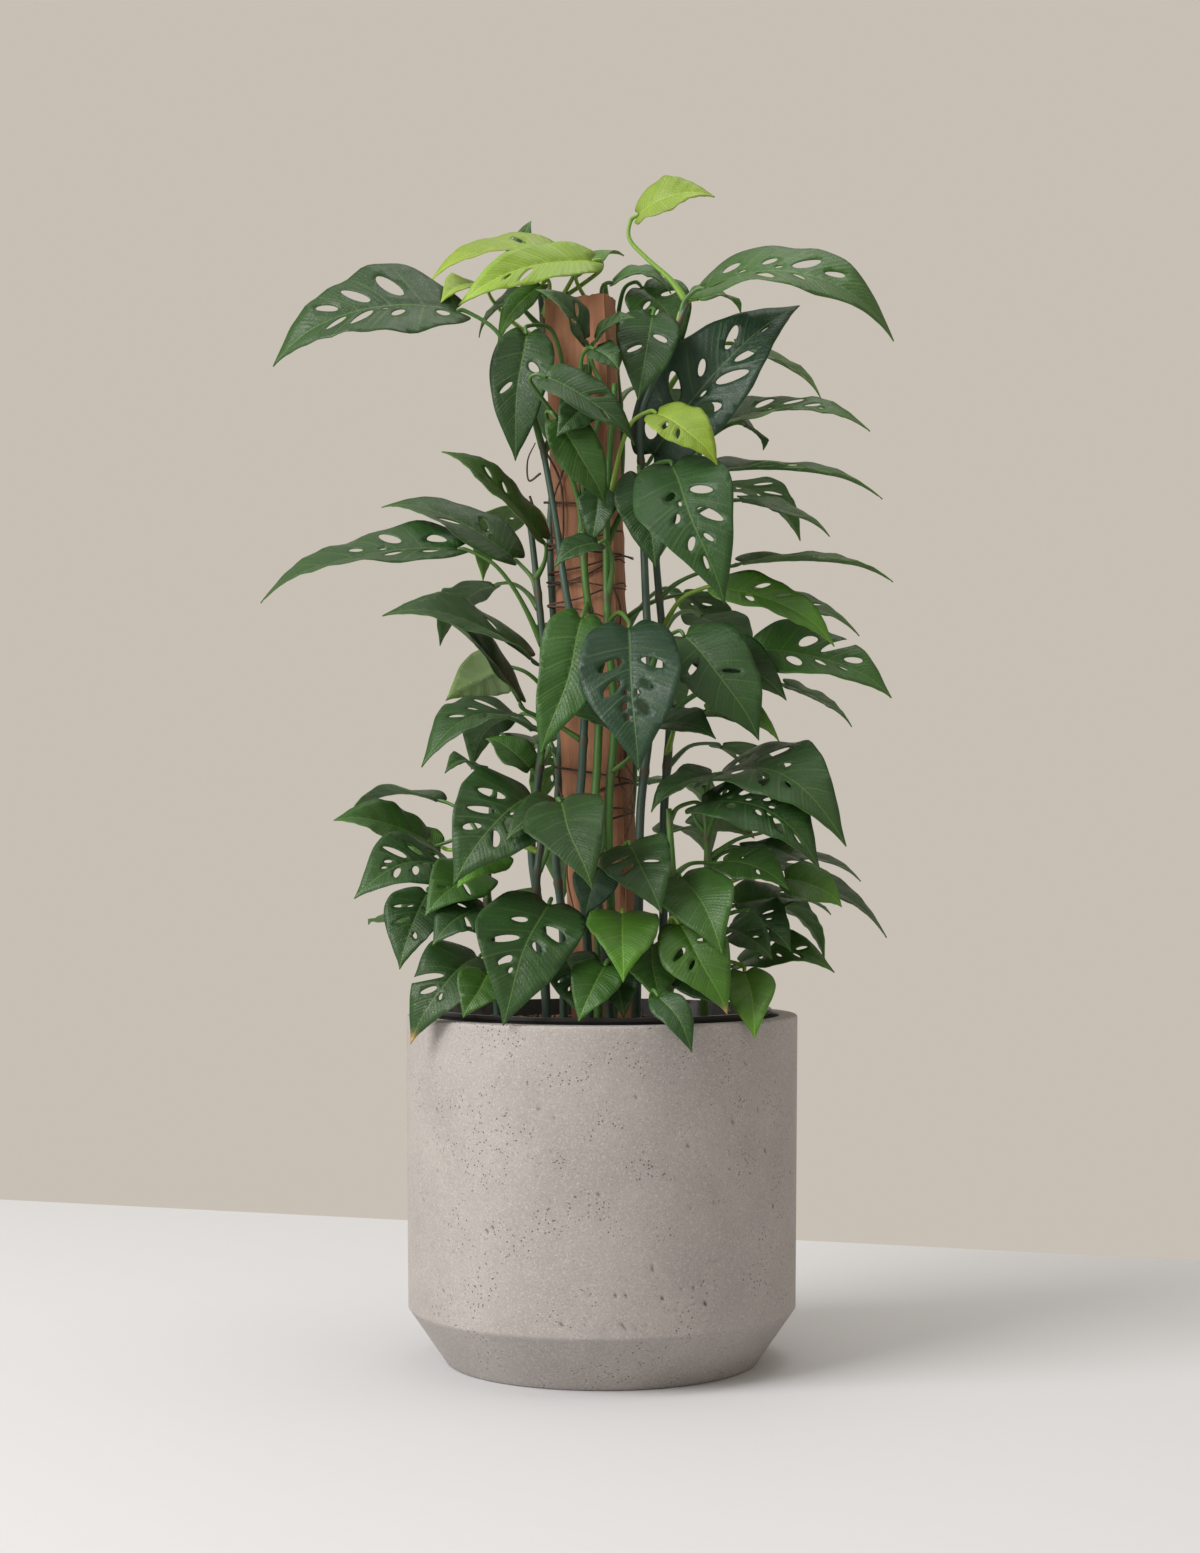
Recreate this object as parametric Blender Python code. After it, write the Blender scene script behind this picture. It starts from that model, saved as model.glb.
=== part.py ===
"""Monstera adansonii climbing a rough board, in a nursery pot that stands in a concrete planter.

Frame: the origin is the centre of the planter's underside, +Z is up and the front is -Y.
Lengths below are millimetres, and every mesh is made in metres.
"""

import math
import random
from collections import namedtuple

import bmesh
import bpy
from mathutils import Matrix, Vector
from mathutils.bvhtree import BVHTree
from mathutils.geometry import delaunay_2d_cdt

MM = 0.001
GAP = 0.35
MERGE = 0.000002

# Planter: a straight drum on a short cone, cast with one wall thickness
PLANTER_RADIUS = 160
PLANTER_HEIGHT = 283
PLANTER_WALL = 16
PLANTER_FLOOR = 20
PLANTER_FOOT_RADIUS = 127
PLANTER_CONE_HEIGHT = 45.6
PLANTER_DRAFT = 1.6
PLANTER_EDGE = 2
PLANTER_SIDES = 44

# Nursery pot, a thin black liner that stands on the planter's floor
POT_FOOT_RADIUS = 108
POT_RIM_RADIUS = 137
POT_TOP = 288
POT_WALL = 1.8
POT_LIP = 3
POT_SIDES = 32

# Potting mix, with plain holes for the stems and the board
SOIL_TOP = 275
HOLE_SIDES = 6
HOLE_PAST = 5

# Board: rough sawn wood that leans to the left as it rises
BOARD_WIDTH = 55
BOARD_THICKNESS = 30
BOARD_TURN = -20
BOARD_FOOT = (11.7, 8, 70)
BOARD_TOP = (-18.5, 8, 872)
BOARD_EDGE = 1.5

# Stems and petioles
STEM_RADIUS = 4
STEM_TIP_RADIUS = 2.6
STEM_SIDES = 5
SWAY = 4
SWAY_DEPTH = 2
SWAY_STEP = 75
SWAY_LENGTH = 38
PETIOLE_RADIUS = 2.2
PETIOLE_TIP_RADIUS = 1.4
LONG_PETIOLE = 60
LONG_STEPS = 4
SHORT_STEPS = 2
NECK = 8
NECK_DROP = 3
SHARPEST = 0.25
FOOT_RISE = 0.7
FOOT_PULL = 0.35
ARRIVE_LEAN = 0.6
ARRIVE_PULL = 0.3
ARRIVE_NECKS = 1.5
BOW_AT_NECK = 0.6

# Blades: half of the outline, as places along the midrib and across, as shares of length and width
BLADE_THICKNESS = 1.0
HALF_OUTLINE = ((-0.05, 0.36), (0.08, 0.84), (0.34, 1.0), (0.62, 0.76), (0.84, 0.34))
SMALL_OUTLINE = ((-0.04, 0.48), (0.22, 1.0), (0.55, 0.84), (0.82, 0.36))
OUTLINE_BACK = (-0.06, 0.0)
SMALL_BLADE = 45
CORNER = math.sqrt(0.5)
SAME_POINT = 0.0001
MIDRIB_POINTS = (0.30, 0.62)
SMALL_MIDRIB_POINTS = (0.42,)
FOLD = 14
MARGIN_DROOP = 0.05
WAVE = 0.05
WAVES = 1.4

# The clear rule: how far a blade may swing, in millimetres and degrees, how a petiole may bow, and how
# much worse it is to cross another vine than its own
TIP_SWINGS = (0, -10, 10, -20, 20, -32, 32, -45, 45)
BASE_SWINGS = (0, -8, 8, -16, 16, -26, 26)
FACE_SWINGS = (0, -10, 10, -20, 20)
SWING_COSTS = (1, 1.2, 0.7)
BOW_SIZES = (6, 12, 20, 30, 42)
BOW_TURN = 45
GRAVE = 10
CLEARANCE = 1.5
PROBE_ROOM = 0.4

# Corners of a window, as places after its own along the midrib and shares of the blade's reach there
WINDOW = ((0, 0.20), (0.015, 0.56), (0.14, 0.74), (0.125, 0.36))

# A cut opens the margin a little before and after its place, and ends near the midrib
CUT_LIPS = (-0.03, 0.07)
CUT_SPARE = 0.03
CUT_END = (-0.10, 0.26)

# Where each style of blade has its windows and its cut, on the left half and on the right
STYLES = {
    "e": ((), None, (), None),
    "h": ((0.30,), None, (0.22,), None),
    "H": ((0.14, 0.42), None, (0.20, 0.48), None),
    "c": ((), 0.42, (0.22,), None),
    "d": ((0.22,), None, (), 0.42),
    "C": ((0.16,), 0.42, (0.20,), 0.52),
}

# foot: height where the petiole leaves the stem; base and tip: the blade's ends; face: 0 turns
# the upper side to the front, 90 turns it up; arch: rise of the midrib in per cent of its length;
# front: the compass angle of the blade's own front, where +X is 0 and +Y is 90
FRONT = -90
Leaf = namedtuple("Leaf", "foot base tip width face arch style front", defaults=(FRONT,))

# Stems, each as the points of its axis. The first two points of each are in the soil.
STEMS = {
    "vine_left_front": ((-10, -40, 235), (-10, -40, 290), (-16, -38, 420), (-18, -36, 560), (-26, -36, 622),
                        (-36, -32, 690), (-52, -30, 748)),
    "vine_left_side": ((-46, 14, 235), (-46, 14, 290), (-54, 8, 420), (-50, 2, 560), (-52, 0, 660),
                       (-60, -2, 700)),
    "vine_back_left": ((-32, 50, 235), (-32, 50, 290), (-36, 46, 480), (-40, 42, 680), (-46, 36, 800),
                       (-48, 32, 885)),
    "vine_left_low": ((-86, 6, 235), (-86, 6, 290), (-92, 2, 380), (-88, -2, 462)),
    "vine_front_left": ((-44, -64, 235), (-44, -64, 290), (-50, -62, 380), (-43, -59, 442)),
    "vine_front": ((6, -84, 235), (6, -84, 290), (0, -82, 350), (-6, -76, 415)),
    "vine_front_right": ((52, -62, 235), (52, -62, 290), (58, -62, 370), (56, -56, 450)),
    "vine_right_low": ((84, -4, 235), (84, -4, 290), (90, -8, 390), (84, -12, 470)),
    "vine_right": ((28, -30, 235), (28, -30, 290), (34, -26, 450), (38, -20, 620), (32, -14, 720),
                   (28, -13, 770), (44, -15, 808), (72, -16, 862)),
    "vine_right_side": ((50, 14, 235), (50, 14, 290), (54, 10, 450), (50, 10, 620), (44, 12, 740),
                        (48, 14, 800)),
    "vine_back_right": ((28, 52, 235), (28, 52, 290), (26, 46, 480), (16, 42, 700), (10, 38, 820),
                        (6, 34, 890)),
    "vine_middle_right": ((9, -32, 235), (9, -32, 290), (8, -30, 450), (5, -29, 600), (6, -28, 700),
                          (7, -26, 795)),
    "vine_middle_left": ((-3, -56, 235), (-3, -56, 290), (-4, -42, 420), (-6, -30, 560), (-14, -28, 700),
                         (-16, -26, 810)),
    "vine_back": ((2, 96, 235), (2, 96, 290), (4, 92, 420), (0, 82, 560)),
}

# Leaves that the photograph shows, stem by stem
LEAVES = {
    "vine_left_front": [
        Leaf(742, (-117, -40, 851), (-264, -60, 810), 96, 48, 14, "H"),
        Leaf(738, (-61, -22, 834), (-70, -42, 731), 52, 20, 10, "h"),
        Leaf(505, (-66, -45, 537), (-152, -80, 616), 56, 66, 7, "e"),
        Leaf(560, (-57, -30, 571), (-168, -60, 606), 74, 60, 8, "h"),
    ],
    "vine_left_side": [
        Leaf(585, (-118, -10, 663), (-283, 0, 629), 78, 60, 8, "H"),
        Leaf(628, (-73, 12, 658), (-182, 30, 709), 60, 60, 8, "h"),
        Leaf(640, (-49, -24, 670), (-125, -40, 742), 50, 66, 5, "h"),
        Leaf(485, (-57, -20, 515), (-142, -84, 488), 78, 60, 22, "h"),
        Leaf(430, (-59, 2, 484), (-96, 27, 512), 36, 60, 8, "e"),
    ],
    "vine_back_left": [
        Leaf(530, (-81, 35, 569), (-132, 76, 547), 48, 150, 10, "h"),
        Leaf(852, (-34, 16, 911), (-143, 4, 890), 50, 60, 12, "h"),
        Leaf(862, (-8, -4, 900), (-116, -30, 860), 48, 54, 8, "h"),
        Leaf(850, (-76, 42, 895), (-60, 50, 948), 22, 42, 8, "e"),
        Leaf(860, (-50, -4, 880), (-86, -14, 833), 26, 44, 8, "e"),
        Leaf(828, (-64, 22, 880), (-105, 38, 848), 30, 56, 10, "e"),
        Leaf(840, (-98, -12, 882), (-129, -45, 860), 34, 44, 10, "e"),
    ],
    "vine_left_low": [
        Leaf(455, (-102, 12, 482), (-127, -23, 482), 30, 60, 20, "e"),
        Leaf(430, (-144, 13, 425), (-215, -29, 445), 60, 50, 6, "e"),
        Leaf(395, (-123, -22, 403), (-194, -84, 383), 71, 52, 14, "H"),
        Leaf(420, (-134, 3, 420), (-166, 39, 423), 32, 35, 8, "e"),
        Leaf(375, (-100, -42, 399), (-138, -94, 368), 53, 40, 12, "h"),
        Leaf(365, (-142, -14, 382), (-162, -56, 324), 52, 40, 10, "h"),
        Leaf(345, (-162, 3, 356), (-196, 37, 358), 32, 66, 8, "e"),
        Leaf(320, (-99, -53, 331), (-150, -100, 268), 66, 35, 26, "d"),
    ],
    "vine_front_left": [
        Leaf(425, (-55, -63, 460), (-114, -132, 394), 88, 32, 16, "H"),
        Leaf(400, (-35, -66, 454), (-73, -92, 427), 38, 45, 10, "e"),
        Leaf(415, (-85, -72, 417), (-111, -118, 390), 44, 22, 8, "e"),
        Leaf(385, (-93, -68, 371), (-132, -114, 345), 49, 32, 10, "c"),
        Leaf(350, (-42, -92, 374), (-75, -154, 286), 83, 18, 14, "H"),
        Leaf(318, (-89, -80, 320), (-107, -126, 289), 42, 28, 10, "e"),
    ],
    "vine_front": [
        Leaf(405, (-32, -80, 454), (-8, -136, 391), 65, 16, 10, "e"),
        Leaf(375, (22, -80, 420), (45, -138, 371), 59, 18, 12, "h"),
        Leaf(330, (16, -98, 367), (16, -160, 320), 58, 8, 12, "e"),
        Leaf(312, (-28, -92, 332), (-16, -138, 290), 47, 15, 10, "h"),
        Leaf(316, (39, -82, 342), (45, -128, 298), 47, 20, 8, "e"),
        Leaf(300, (2, -111, 327), (-18, -147, 287), 40, 28, 8, "e"),
        Leaf(300, (12, -95, 326), (17, -129, 289), 36, 12, 6, "e"),
    ],
    "vine_front_right": [
        Leaf(440, (79, -58, 454), (171, -103, 406), 78, 55, 18, "H"),
        Leaf(395, (97, -32, 407), (147, -75, 389), 48, 50, 12, "h"),
        Leaf(370, (62, -80, 395), (92, -140, 340), 60, 36, 12, "e"),
        Leaf(345, (101, -42, 354), (133, -90, 334), 45, 40, 10, "h"),
        Leaf(338, (60, -113, 359), (96, -141, 293), 56, 32, 12, "h"),
        Leaf(306, (61, -93, 324), (98, -130, 295), 42, 34, 8, "e"),
        Leaf(298, (43, -134, 305), (68, -170, 265), 28, 30, 14, "e"),
        Leaf(306, (112, -84, 321), (118, -124, 273), 42, 30, 12, "e"),
    ],
    "vine_right_low": [
        Leaf(450, (96, -10, 478), (191, -74, 426), 93, 46, 22, "H"),
        Leaf(425, (89, -42, 477), (38, -68, 450), 44, 48, 12, "h"),
        Leaf(430, (80, -4, 448), (127, 44, 430), 48, 140, 10, "e"),
        Leaf(400, (117, 0, 416), (236, -12, 352), 48, 68, 5, "h"),
        Leaf(410, (132, 32, 419), (219, 45, 396), 42, 69, 5, "e"),
        Leaf(380, (147, -9, 394), (194, -39, 373), 42, 56, 12, "e"),
        Leaf(365, (111, 12, 372), (194, 50, 368), 56, 64, 9, "h"),
        Leaf(350, (121, -12, 367), (150, -60, 339), 46, 30, 10, "h"),
        Leaf(325, (113, 3, 324), (188, -26, 322), 56, 58, 14, "h"),
    ],
    "vine_right": [
        Leaf(850, (84, -26, 872), (234, -60, 831), 94, 54, 20, "H"),
        Leaf(862, (30, -9, 936), (90, -30, 948), 46, 34, 16, "e"),
        Leaf(735, (42, 4, 742), (159, -8, 867), 86, 34, 8, "H"),
        Leaf(690, (31, -34, 720), (43, -44, 644), 52, 12, 8, "e"),
        Leaf(845, (78, -7, 868), (117, 32, 868), 38, 58, 14, "e"),
        Leaf(560, (66, -50, 588), (125, -80, 506), 68, 36, 12, "h"),
        Leaf(480, (39, -38, 514), (89, -80, 508), 49, 52, 12, "e"),
    ],
    "vine_right_side": [
        Leaf(790, (113, 30, 838), (186, 42, 800), 40, 66, 6, "e"),
        Leaf(745, (95, 10, 769), (220, -2, 768), 66, 66, 9, "h"),
        Leaf(725, (118, 11, 768), (137, 42, 754), 28, 35, 8, "e"),
        Leaf(700, (87, 0, 728), (230, -12, 712), 62, 70, 6, "h"),
        Leaf(660, (117, 32, 709), (193, 46, 685), 42, 72, 4, "e"),
        Leaf(625, (115, -8, 652), (238, -14, 643), 56, 73, 5, "h"),
        Leaf(600, (93, -32, 629), (188, -50, 585), 54, 56, 8, "h"),
        Leaf(565, (126, -12, 581), (237, -22, 546), 76, 52, 8, "C"),
        Leaf(545, (79, -27, 579), (148, -45, 540), 56, 52, 10, "h"),
        Leaf(530, (152, 22, 554), (210, 28, 523), 38, 68, 4, "e"),
        Leaf(495, (83, -38, 529), (143, -48, 507), 42, 56, 14, "e"),
    ],
    "vine_back_right": [
        Leaf(610, (107, 48, 634), (220, 62, 605), 46, 70, 5, "h"),
        Leaf(855, (-16, 12, 898), (18, 44, 918), 36, 52, 14, "e"),
        Leaf(845, (10, 4, 884), (57, -12, 876), 36, 56, 24, "e"),
        Leaf(830, (33, 10, 881), (67, -32, 832), 54, 32, 10, "h"),
        Leaf(820, (41, -9, 852), (29, -44, 780), 52, 14, 8, "h"),
    ],
    "vine_middle_right": [
        Leaf(690, (44, -46, 767), (92, -74, 724), 48, 42, 12, "h"),
        Leaf(665, (56, -50, 724), (95, -110, 612), 82, 18, 12, "h"),
        Leaf(600, (21, -87, 591), (28, -134, 480), 82, 6, 8, "h"),
        Leaf(480, (22, -58, 505), (-33, -72, 526), 40, 55, 10, "e"),
        Leaf(620, (-3, -54, 662), (-38, -70, 643), 32, 50, 12, "e"),
        Leaf(765, (-5, -36, 828), (25, -58, 843), 34, 45, 10, "c"),
    ],
    "vine_middle_left": [
        Leaf(610, (-16, -76, 600), (-48, -112, 492), 55, 14, 10, "e"),
        Leaf(775, (-14, -38, 830), (-50, -56, 866), 38, 42, 10, "h"),
        Leaf(760, (-6, -48, 818), (14, -66, 799), 26, 30, 10, "e"),
        Leaf(730, (-44, -46, 791), (28, -66, 742), 52, 45, 10, "h"),
        Leaf(715, (-10, -48, 776), (-36, -68, 746), 32, 15, 8, "e"),
        Leaf(672, (-36, -42, 760), (4, -60, 694), 42, 42, 8, "e"),
        Leaf(655, (-2, -50, 707), (-8, -64, 663), 32, 40, 8, "e"),
        Leaf(365, (-2, -64, 403), (-13, -96, 366), 36, 12, 8, "e"),
    ],
}

# Leaves round the back and the sides, by a rule: lowest and highest foot, how many, compass angle
# of the middle, half the fan of angles, and the span of blade lengths
FANS = {
    "vine_back_left": (340, 830, 5, 106, 22, (85, 125)),
    "vine_back_right": (360, 840, 5, 70, 24, (85, 125)),
    "vine_back": (320, 550, 5, 90, 50, (80, 115)),
    "vine_left_low": (330, 440, 2, 138, 20, (70, 90)),
    "vine_right_low": (320, 440, 2, 44, 20, (70, 90)),
    "vine_left_side": (420, 680, 2, 116, 12, (80, 105)),
    "vine_right_side": (430, 760, 3, 58, 18, (80, 110)),
}
FAN_SEED = 5
FAN_SPREAD = (0.3, 1.0)
FAN_REACH = (0.55, 0.85)
FAN_RISE = (18, 48)
FAN_DROP = (5, 40)
FAN_STYLES = "hehhe"
FAN_WIDTH = 0.58
FAN_FACE = 60
FAN_ARCH = 14

Shape = namedtuple("Shape", "points triangles")


def unit(vector):
    return Vector(vector).normalized()


def compass(degrees):
    turn = math.radians(degrees)
    return Vector((math.cos(turn), math.sin(turn), 0))


# Meshes and materials
def material(name, colour, roughness, metallic=0.0):
    finish = bpy.data.materials.new(name)
    finish.use_nodes = True
    shader = finish.node_tree.nodes["Principled BSDF"]
    shader.inputs["Base Color"].default_value = (*colour, 1)
    shader.inputs["Roughness"].default_value = roughness
    shader.inputs["Metallic"].default_value = metallic
    finish.diffuse_color = (*colour, 1)
    return finish


def add_object(name, mesh, finish, collection=None):
    made = bpy.data.objects.new(name, mesh)
    mesh.materials.clear()
    mesh.materials.append(finish)
    (collection or bpy.context.scene.collection).objects.link(made)
    return made


def mesh_of(name, shape):
    mesh = bpy.data.meshes.new(name)
    mesh.from_pydata([Vector(point) * MM for point in shape.points], [], shape.triangles)
    mesh.validate()
    work = bmesh.new()
    work.from_mesh(mesh)
    bmesh.ops.recalc_face_normals(work, faces=work.faces)
    work.to_mesh(mesh)
    work.free()
    return mesh


def turned(profile, sides):
    """A solid of revolution about Z. The profile starts and ends on the axis."""
    points = [Vector((0, 0, profile[0][1]))]
    rings = profile[1:-1]
    for radius, height in rings:
        for side in range(sides):
            turn = math.tau * side / sides
            points.append(Vector((radius * math.cos(turn), radius * math.sin(turn), height)))
    points.append(Vector((0, 0, profile[-1][1])))
    last = len(points) - 1
    triangles = []
    for side in range(sides):
        following = (side + 1) % sides
        triangles.append((0, 1 + following, 1 + side))
        for ring in range(len(rings) - 1):
            low, high = 1 + ring * sides, 1 + (ring + 1) * sides
            triangles.append((low + side, low + following, high + following))
            triangles.append((low + side, high + following, high + side))
        top = 1 + (len(rings) - 1) * sides
        triangles.append((last, top + side, top + following))
    return Shape(points, triangles)


def tube(path, radii, sides):
    """A closed tube along a path, with flat ends."""
    points, triangles = [], []
    across = unit(path[1] - path[0]).orthogonal().normalized()
    for index, (centre, radius) in enumerate(zip(path, radii)):
        ahead = path[min(index + 1, len(path) - 1)] - path[max(index - 1, 0)]
        ahead = unit(ahead)
        across = unit(across - across.dot(ahead) * ahead)
        beside = ahead.cross(across)
        for side in range(sides):
            turn = math.tau * side / sides
            points.append(centre + radius * (math.cos(turn) * across + math.sin(turn) * beside))
    for ring in range(len(path) - 1):
        for side in range(sides):
            following = (side + 1) % sides
            low, high = ring * sides, (ring + 1) * sides
            triangles.append((low + side, low + following, high + following))
            triangles.append((low + side, high + following, high + side))
    for first, turned_round in ((0, True), ((len(path) - 1) * sides, False)):
        for side in range(1, sides - 1):
            corner = (first, first + side, first + side + 1)
            triangles.append(corner[::-1] if turned_round else corner)
    return Shape(points, triangles)


# Stems and petioles
def stem_path(name):
    """The stem's axis: straight through the soil, then swaying a little from side to side."""
    corners = [Vector(point) for point in STEMS[name]]
    path = corners[:2]
    for low, high in zip(corners[1:], corners[2:]):
        steps = max(1, round((high.z - low.z) / SWAY_STEP))
        for step in range(1, steps + 1):
            point = low.lerp(high, step / steps)
            turn = point.z / SWAY_LENGTH
            path.append(point + Vector((SWAY * math.sin(turn), SWAY_DEPTH * math.cos(turn), 0)))
    return path


def point_on_stem(name, height):
    path = stem_path(name)
    for low, high in zip(path, path[1:]):
        if height <= high.z:
            share = (height - low.z) / (high.z - low.z)
            return low.lerp(high, max(share, 0))
    return path[-1].copy()


def stem_shape(name, room=0):
    path = stem_path(name)
    last = len(path) - 1
    radii = [(STEM_RADIUS if i < last else STEM_TIP_RADIUS) + room for i in range(len(path))]
    return tube(path, radii, STEM_SIDES)


def petiole_path(vine, leaf, bow):
    """A petiole leaves the stem steeply, bows out and meets the blade from behind and below."""
    foot = point_on_stem(vine, leaf.foot)
    base = Vector(leaf.base)
    along, normal, _ = blade_axes(leaf)
    neck = base - NECK * along - NECK_DROP * normal
    reach = (neck - foot).length
    out = unit(neck - foot)
    first = foot + reach * FOOT_PULL * unit(out + Vector((0, 0, FOOT_RISE))) + bow
    arrive = unit(ARRIVE_LEAN * out + along)
    pull = max(ARRIVE_PULL * reach, ARRIVE_NECKS * NECK)
    second = neck - pull * arrive + BOW_AT_NECK * bow
    steps = LONG_STEPS if reach > LONG_PETIOLE else SHORT_STEPS
    path = []
    for step in range(steps + 1):
        t = step / steps
        path.append(
            (1 - t) ** 3 * foot
            + 3 * (1 - t) ** 2 * t * first
            + 3 * (1 - t) * t * t * second
            + t**3 * neck
        )
    return path + [base]


def sharp_turns(path):
    """How many joints of the path turn too far for its sides to stay apart."""
    ways = [unit(after - before) for before, after in zip(path, path[1:])]
    return sum(one.dot(two) < SHARPEST for one, two in zip(ways, ways[1:]))


def petiole_radii(path, room=0):
    last = len(path) - 1
    taper = (PETIOLE_TIP_RADIUS - PETIOLE_RADIUS) / last
    return [PETIOLE_RADIUS + taper * index + room for index in range(last + 1)]


# Blades
def blade_axes(leaf):
    """Unit vectors along the midrib, out of the upper side, and across to the left half."""
    along = unit(Vector(leaf.tip) - Vector(leaf.base))
    face = math.radians(leaf.face)
    normal = math.cos(face) * compass(leaf.front) + Vector((0, 0, math.sin(face)))
    normal = unit(normal - normal.dot(along) * along)
    return along, normal, normal.cross(along)


def blade_point(leaf, s, v):
    """A point of the blade's middle surface, s along the midrib and v across, -1 to 1."""
    along, normal, left = blade_axes(leaf)
    length = (Vector(leaf.tip) - Vector(leaf.base)).length
    across = 0.5 * leaf.width * v
    fold = math.radians(FOLD)
    rise = length * leaf.arch / 100 * 4 * s * (1 - s)
    phase = leaf.foot + leaf.width
    wave = WAVE * leaf.width * v * abs(v) * math.sin(math.tau * WAVES * s + phase)
    droop = MARGIN_DROOP * leaf.width * v * v
    return (
        Vector(leaf.base)
        + along * length * s
        + left * across * math.cos(fold)
        + normal * (rise + abs(across) * math.sin(fold) + wave - droop)
    )


def half_width(s, half):
    """The outline's reach at s, as a share of half the width."""
    ends = (OUTLINE_BACK, *half, (1.0, 0.0))
    for (s0, v0), (s1, v1) in zip(ends, ends[1:]):
        if s <= s1:
            return v0 + (v1 - v0) * (s - s0) / (s1 - s0)
    return 0.0


def side_points(half, cut):
    """One side of the outline from base to tip, with a slit to near the midrib where it has a cut."""
    if cut is None:
        return list(half)
    low, high = cut + CUT_LIPS[0], cut + CUT_LIPS[1]
    before = [point for point in half if point[0] < low - CUT_SPARE]
    after = [point for point in half if point[0] > high + CUT_SPARE]
    slit = [(low, half_width(low, half)), (cut + CUT_END[0], CUT_END[1]), (high, half_width(high, half))]
    return before + slit + after


def window(s, half, side):
    """A window between two side veins, four corners slanting towards the tip."""
    return [(s + ahead, side * out * half_width(s + ahead, half)) for ahead, out in WINDOW]


def blade_loops(leaf, plain):
    """The outline and the windows in s and v. The outline starts and ends at the petiole's seat."""
    half = SMALL_OUTLINE if leaf.width < SMALL_BLADE else HALF_OUTLINE
    left, left_cut, right, right_cut = STYLES["e" if plain else leaf.style]
    seat = PETIOLE_TIP_RADIUS / (leaf.width / 2)
    left_side = [(0.0, seat)] + side_points(half, left_cut)
    right_side = [(0.0, seat)] + side_points(half, right_cut)
    outline = left_side + [(1.0, 0.0)] + [(s, -v) for s, v in reversed(right_side)]
    windows = [window(s, half, 1) for s in left] + [window(s, half, -1) for s in right]
    return outline, windows


def inside(point, loop):
    count = 0
    for (x0, y0), (x1, y1) in zip(loop, loop[1:] + loop[:1]):
        if (y0 > point[1]) != (y1 > point[1]):
            count += point[0] < x0 + (point[1] - y0) * (x1 - x0) / (y1 - y0)
    return count % 2 == 1


def blade_sheet(leaf, plain):
    """Points in s and v with the triangles between them, and the outline's last point."""
    outline, windows = blade_loops(leaf, plain)
    flat, edges = [], []
    for loop in [outline] + windows:
        first = len(flat)
        flat += loop
        edges += [(first + i, first + (i + 1) % len(loop)) for i in range(len(loop))]
    midrib = SMALL_MIDRIB_POINTS if leaf.width < SMALL_BLADE else MIDRIB_POINTS
    rib = list(range(len(flat), len(flat) + len(midrib))) + [outline.index((1.0, 0.0))]
    flat += [(s, 0.0) for s in midrib]
    edges += list(zip(rib, rib[1:]))
    length = (Vector(leaf.tip) - Vector(leaf.base)).length
    scaled = [Vector((s * length, v * leaf.width / 2)) for s, v in flat]
    _, _, faces, *_ = delaunay_2d_cdt(scaled, edges, [], 1, SAME_POINT)
    kept = []
    for face in faces:
        centre = [sum(flat[i][axis] for i in face) / 3 for axis in (0, 1)]
        if inside(centre, outline) and not any(inside(centre, loop) for loop in windows):
            kept.append(tuple(face))
    return flat, kept, len(outline) - 1


def blade_shape(leaf, thickness, plain=False, path=None):
    """A slab triangulated alike on both faces. With a path, its petiole grows from its seat."""
    flat, faces, last = blade_sheet(leaf, plain)
    middle = [blade_point(leaf, s, v) for s, v in flat]
    normals = [Vector() for _ in middle]
    for a, b, c in faces:
        area = (middle[b] - middle[a]).cross(middle[c] - middle[a])
        for corner in (a, b, c):
            normals[corner] += area
    offset = [0.5 * thickness * unit(normal) for normal in normals]
    count = len(middle)
    points = [p + o for p, o in zip(middle, offset)] + [p - o for p, o in zip(middle, offset)]
    triangles = list(faces) + [(c + count, b + count, a + count) for a, b, c in faces]
    edges = {(a, b) for face in faces for a, b in zip(face, face[1:] + face[:1])}
    for a, b in sorted(edges):
        if (b, a) in edges or (path and {a, b} == {0, last}):
            continue
        triangles += [(b, a, a + count), (b, a + count, b + count)]
    if path:
        add_petiole(points, triangles, (0, last, last + count, count), path)
    return Shape(points, triangles)


def add_petiole(points, triangles, seat, path):
    """Grows a four-sided stalk from the blade's seat back along the path to its foot."""
    across = unit(points[seat[0]] - points[seat[1]])
    ring = seat
    radii = petiole_radii(path)
    for index in range(len(path) - 2, -1, -1):
        ahead = unit(path[index + 1] - path[max(index - 1, 0)])
        across = unit(across - across.dot(ahead) * ahead)
        up = ahead.cross(across)
        if up.dot(points[ring[0]] - points[ring[3]]) < 0:
            up = -up
        first = len(points)
        for side, rise in ((1, 1), (-1, 1), (-1, -1), (1, -1)):
            points.append(path[index] + radii[index] * (side * across + rise * up) * CORNER)
        following = tuple(range(first, first + 4))
        for a in range(4):
            b = (a + 1) % 4
            triangles += [(ring[a], ring[b], following[b]), (ring[a], following[b], following[a])]
        ring = following
    triangles += [(ring[0], ring[1], ring[2]), (ring[0], ring[2], ring[3])]


# Keeping leaves clear of each other
def tree(shape):
    return BVHTree.FromPolygons(shape.points, shape.triangles)


class Clearing:
    """Holds what already stands, each with its vine's name and a little room round it."""

    def __init__(self):
        self.stems = []
        self.blades = []
        self.petioles = []

    def crossings(self, shape, vine, lists):
        """How many pieces the shape crosses, on other vines and on its own."""
        probe = tree(shape)
        others = own = 0
        for placed in lists:
            for name, standing in placed:
                if standing.overlap(probe):
                    others += name != vine
                    own += name == vine
        return others, own


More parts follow.
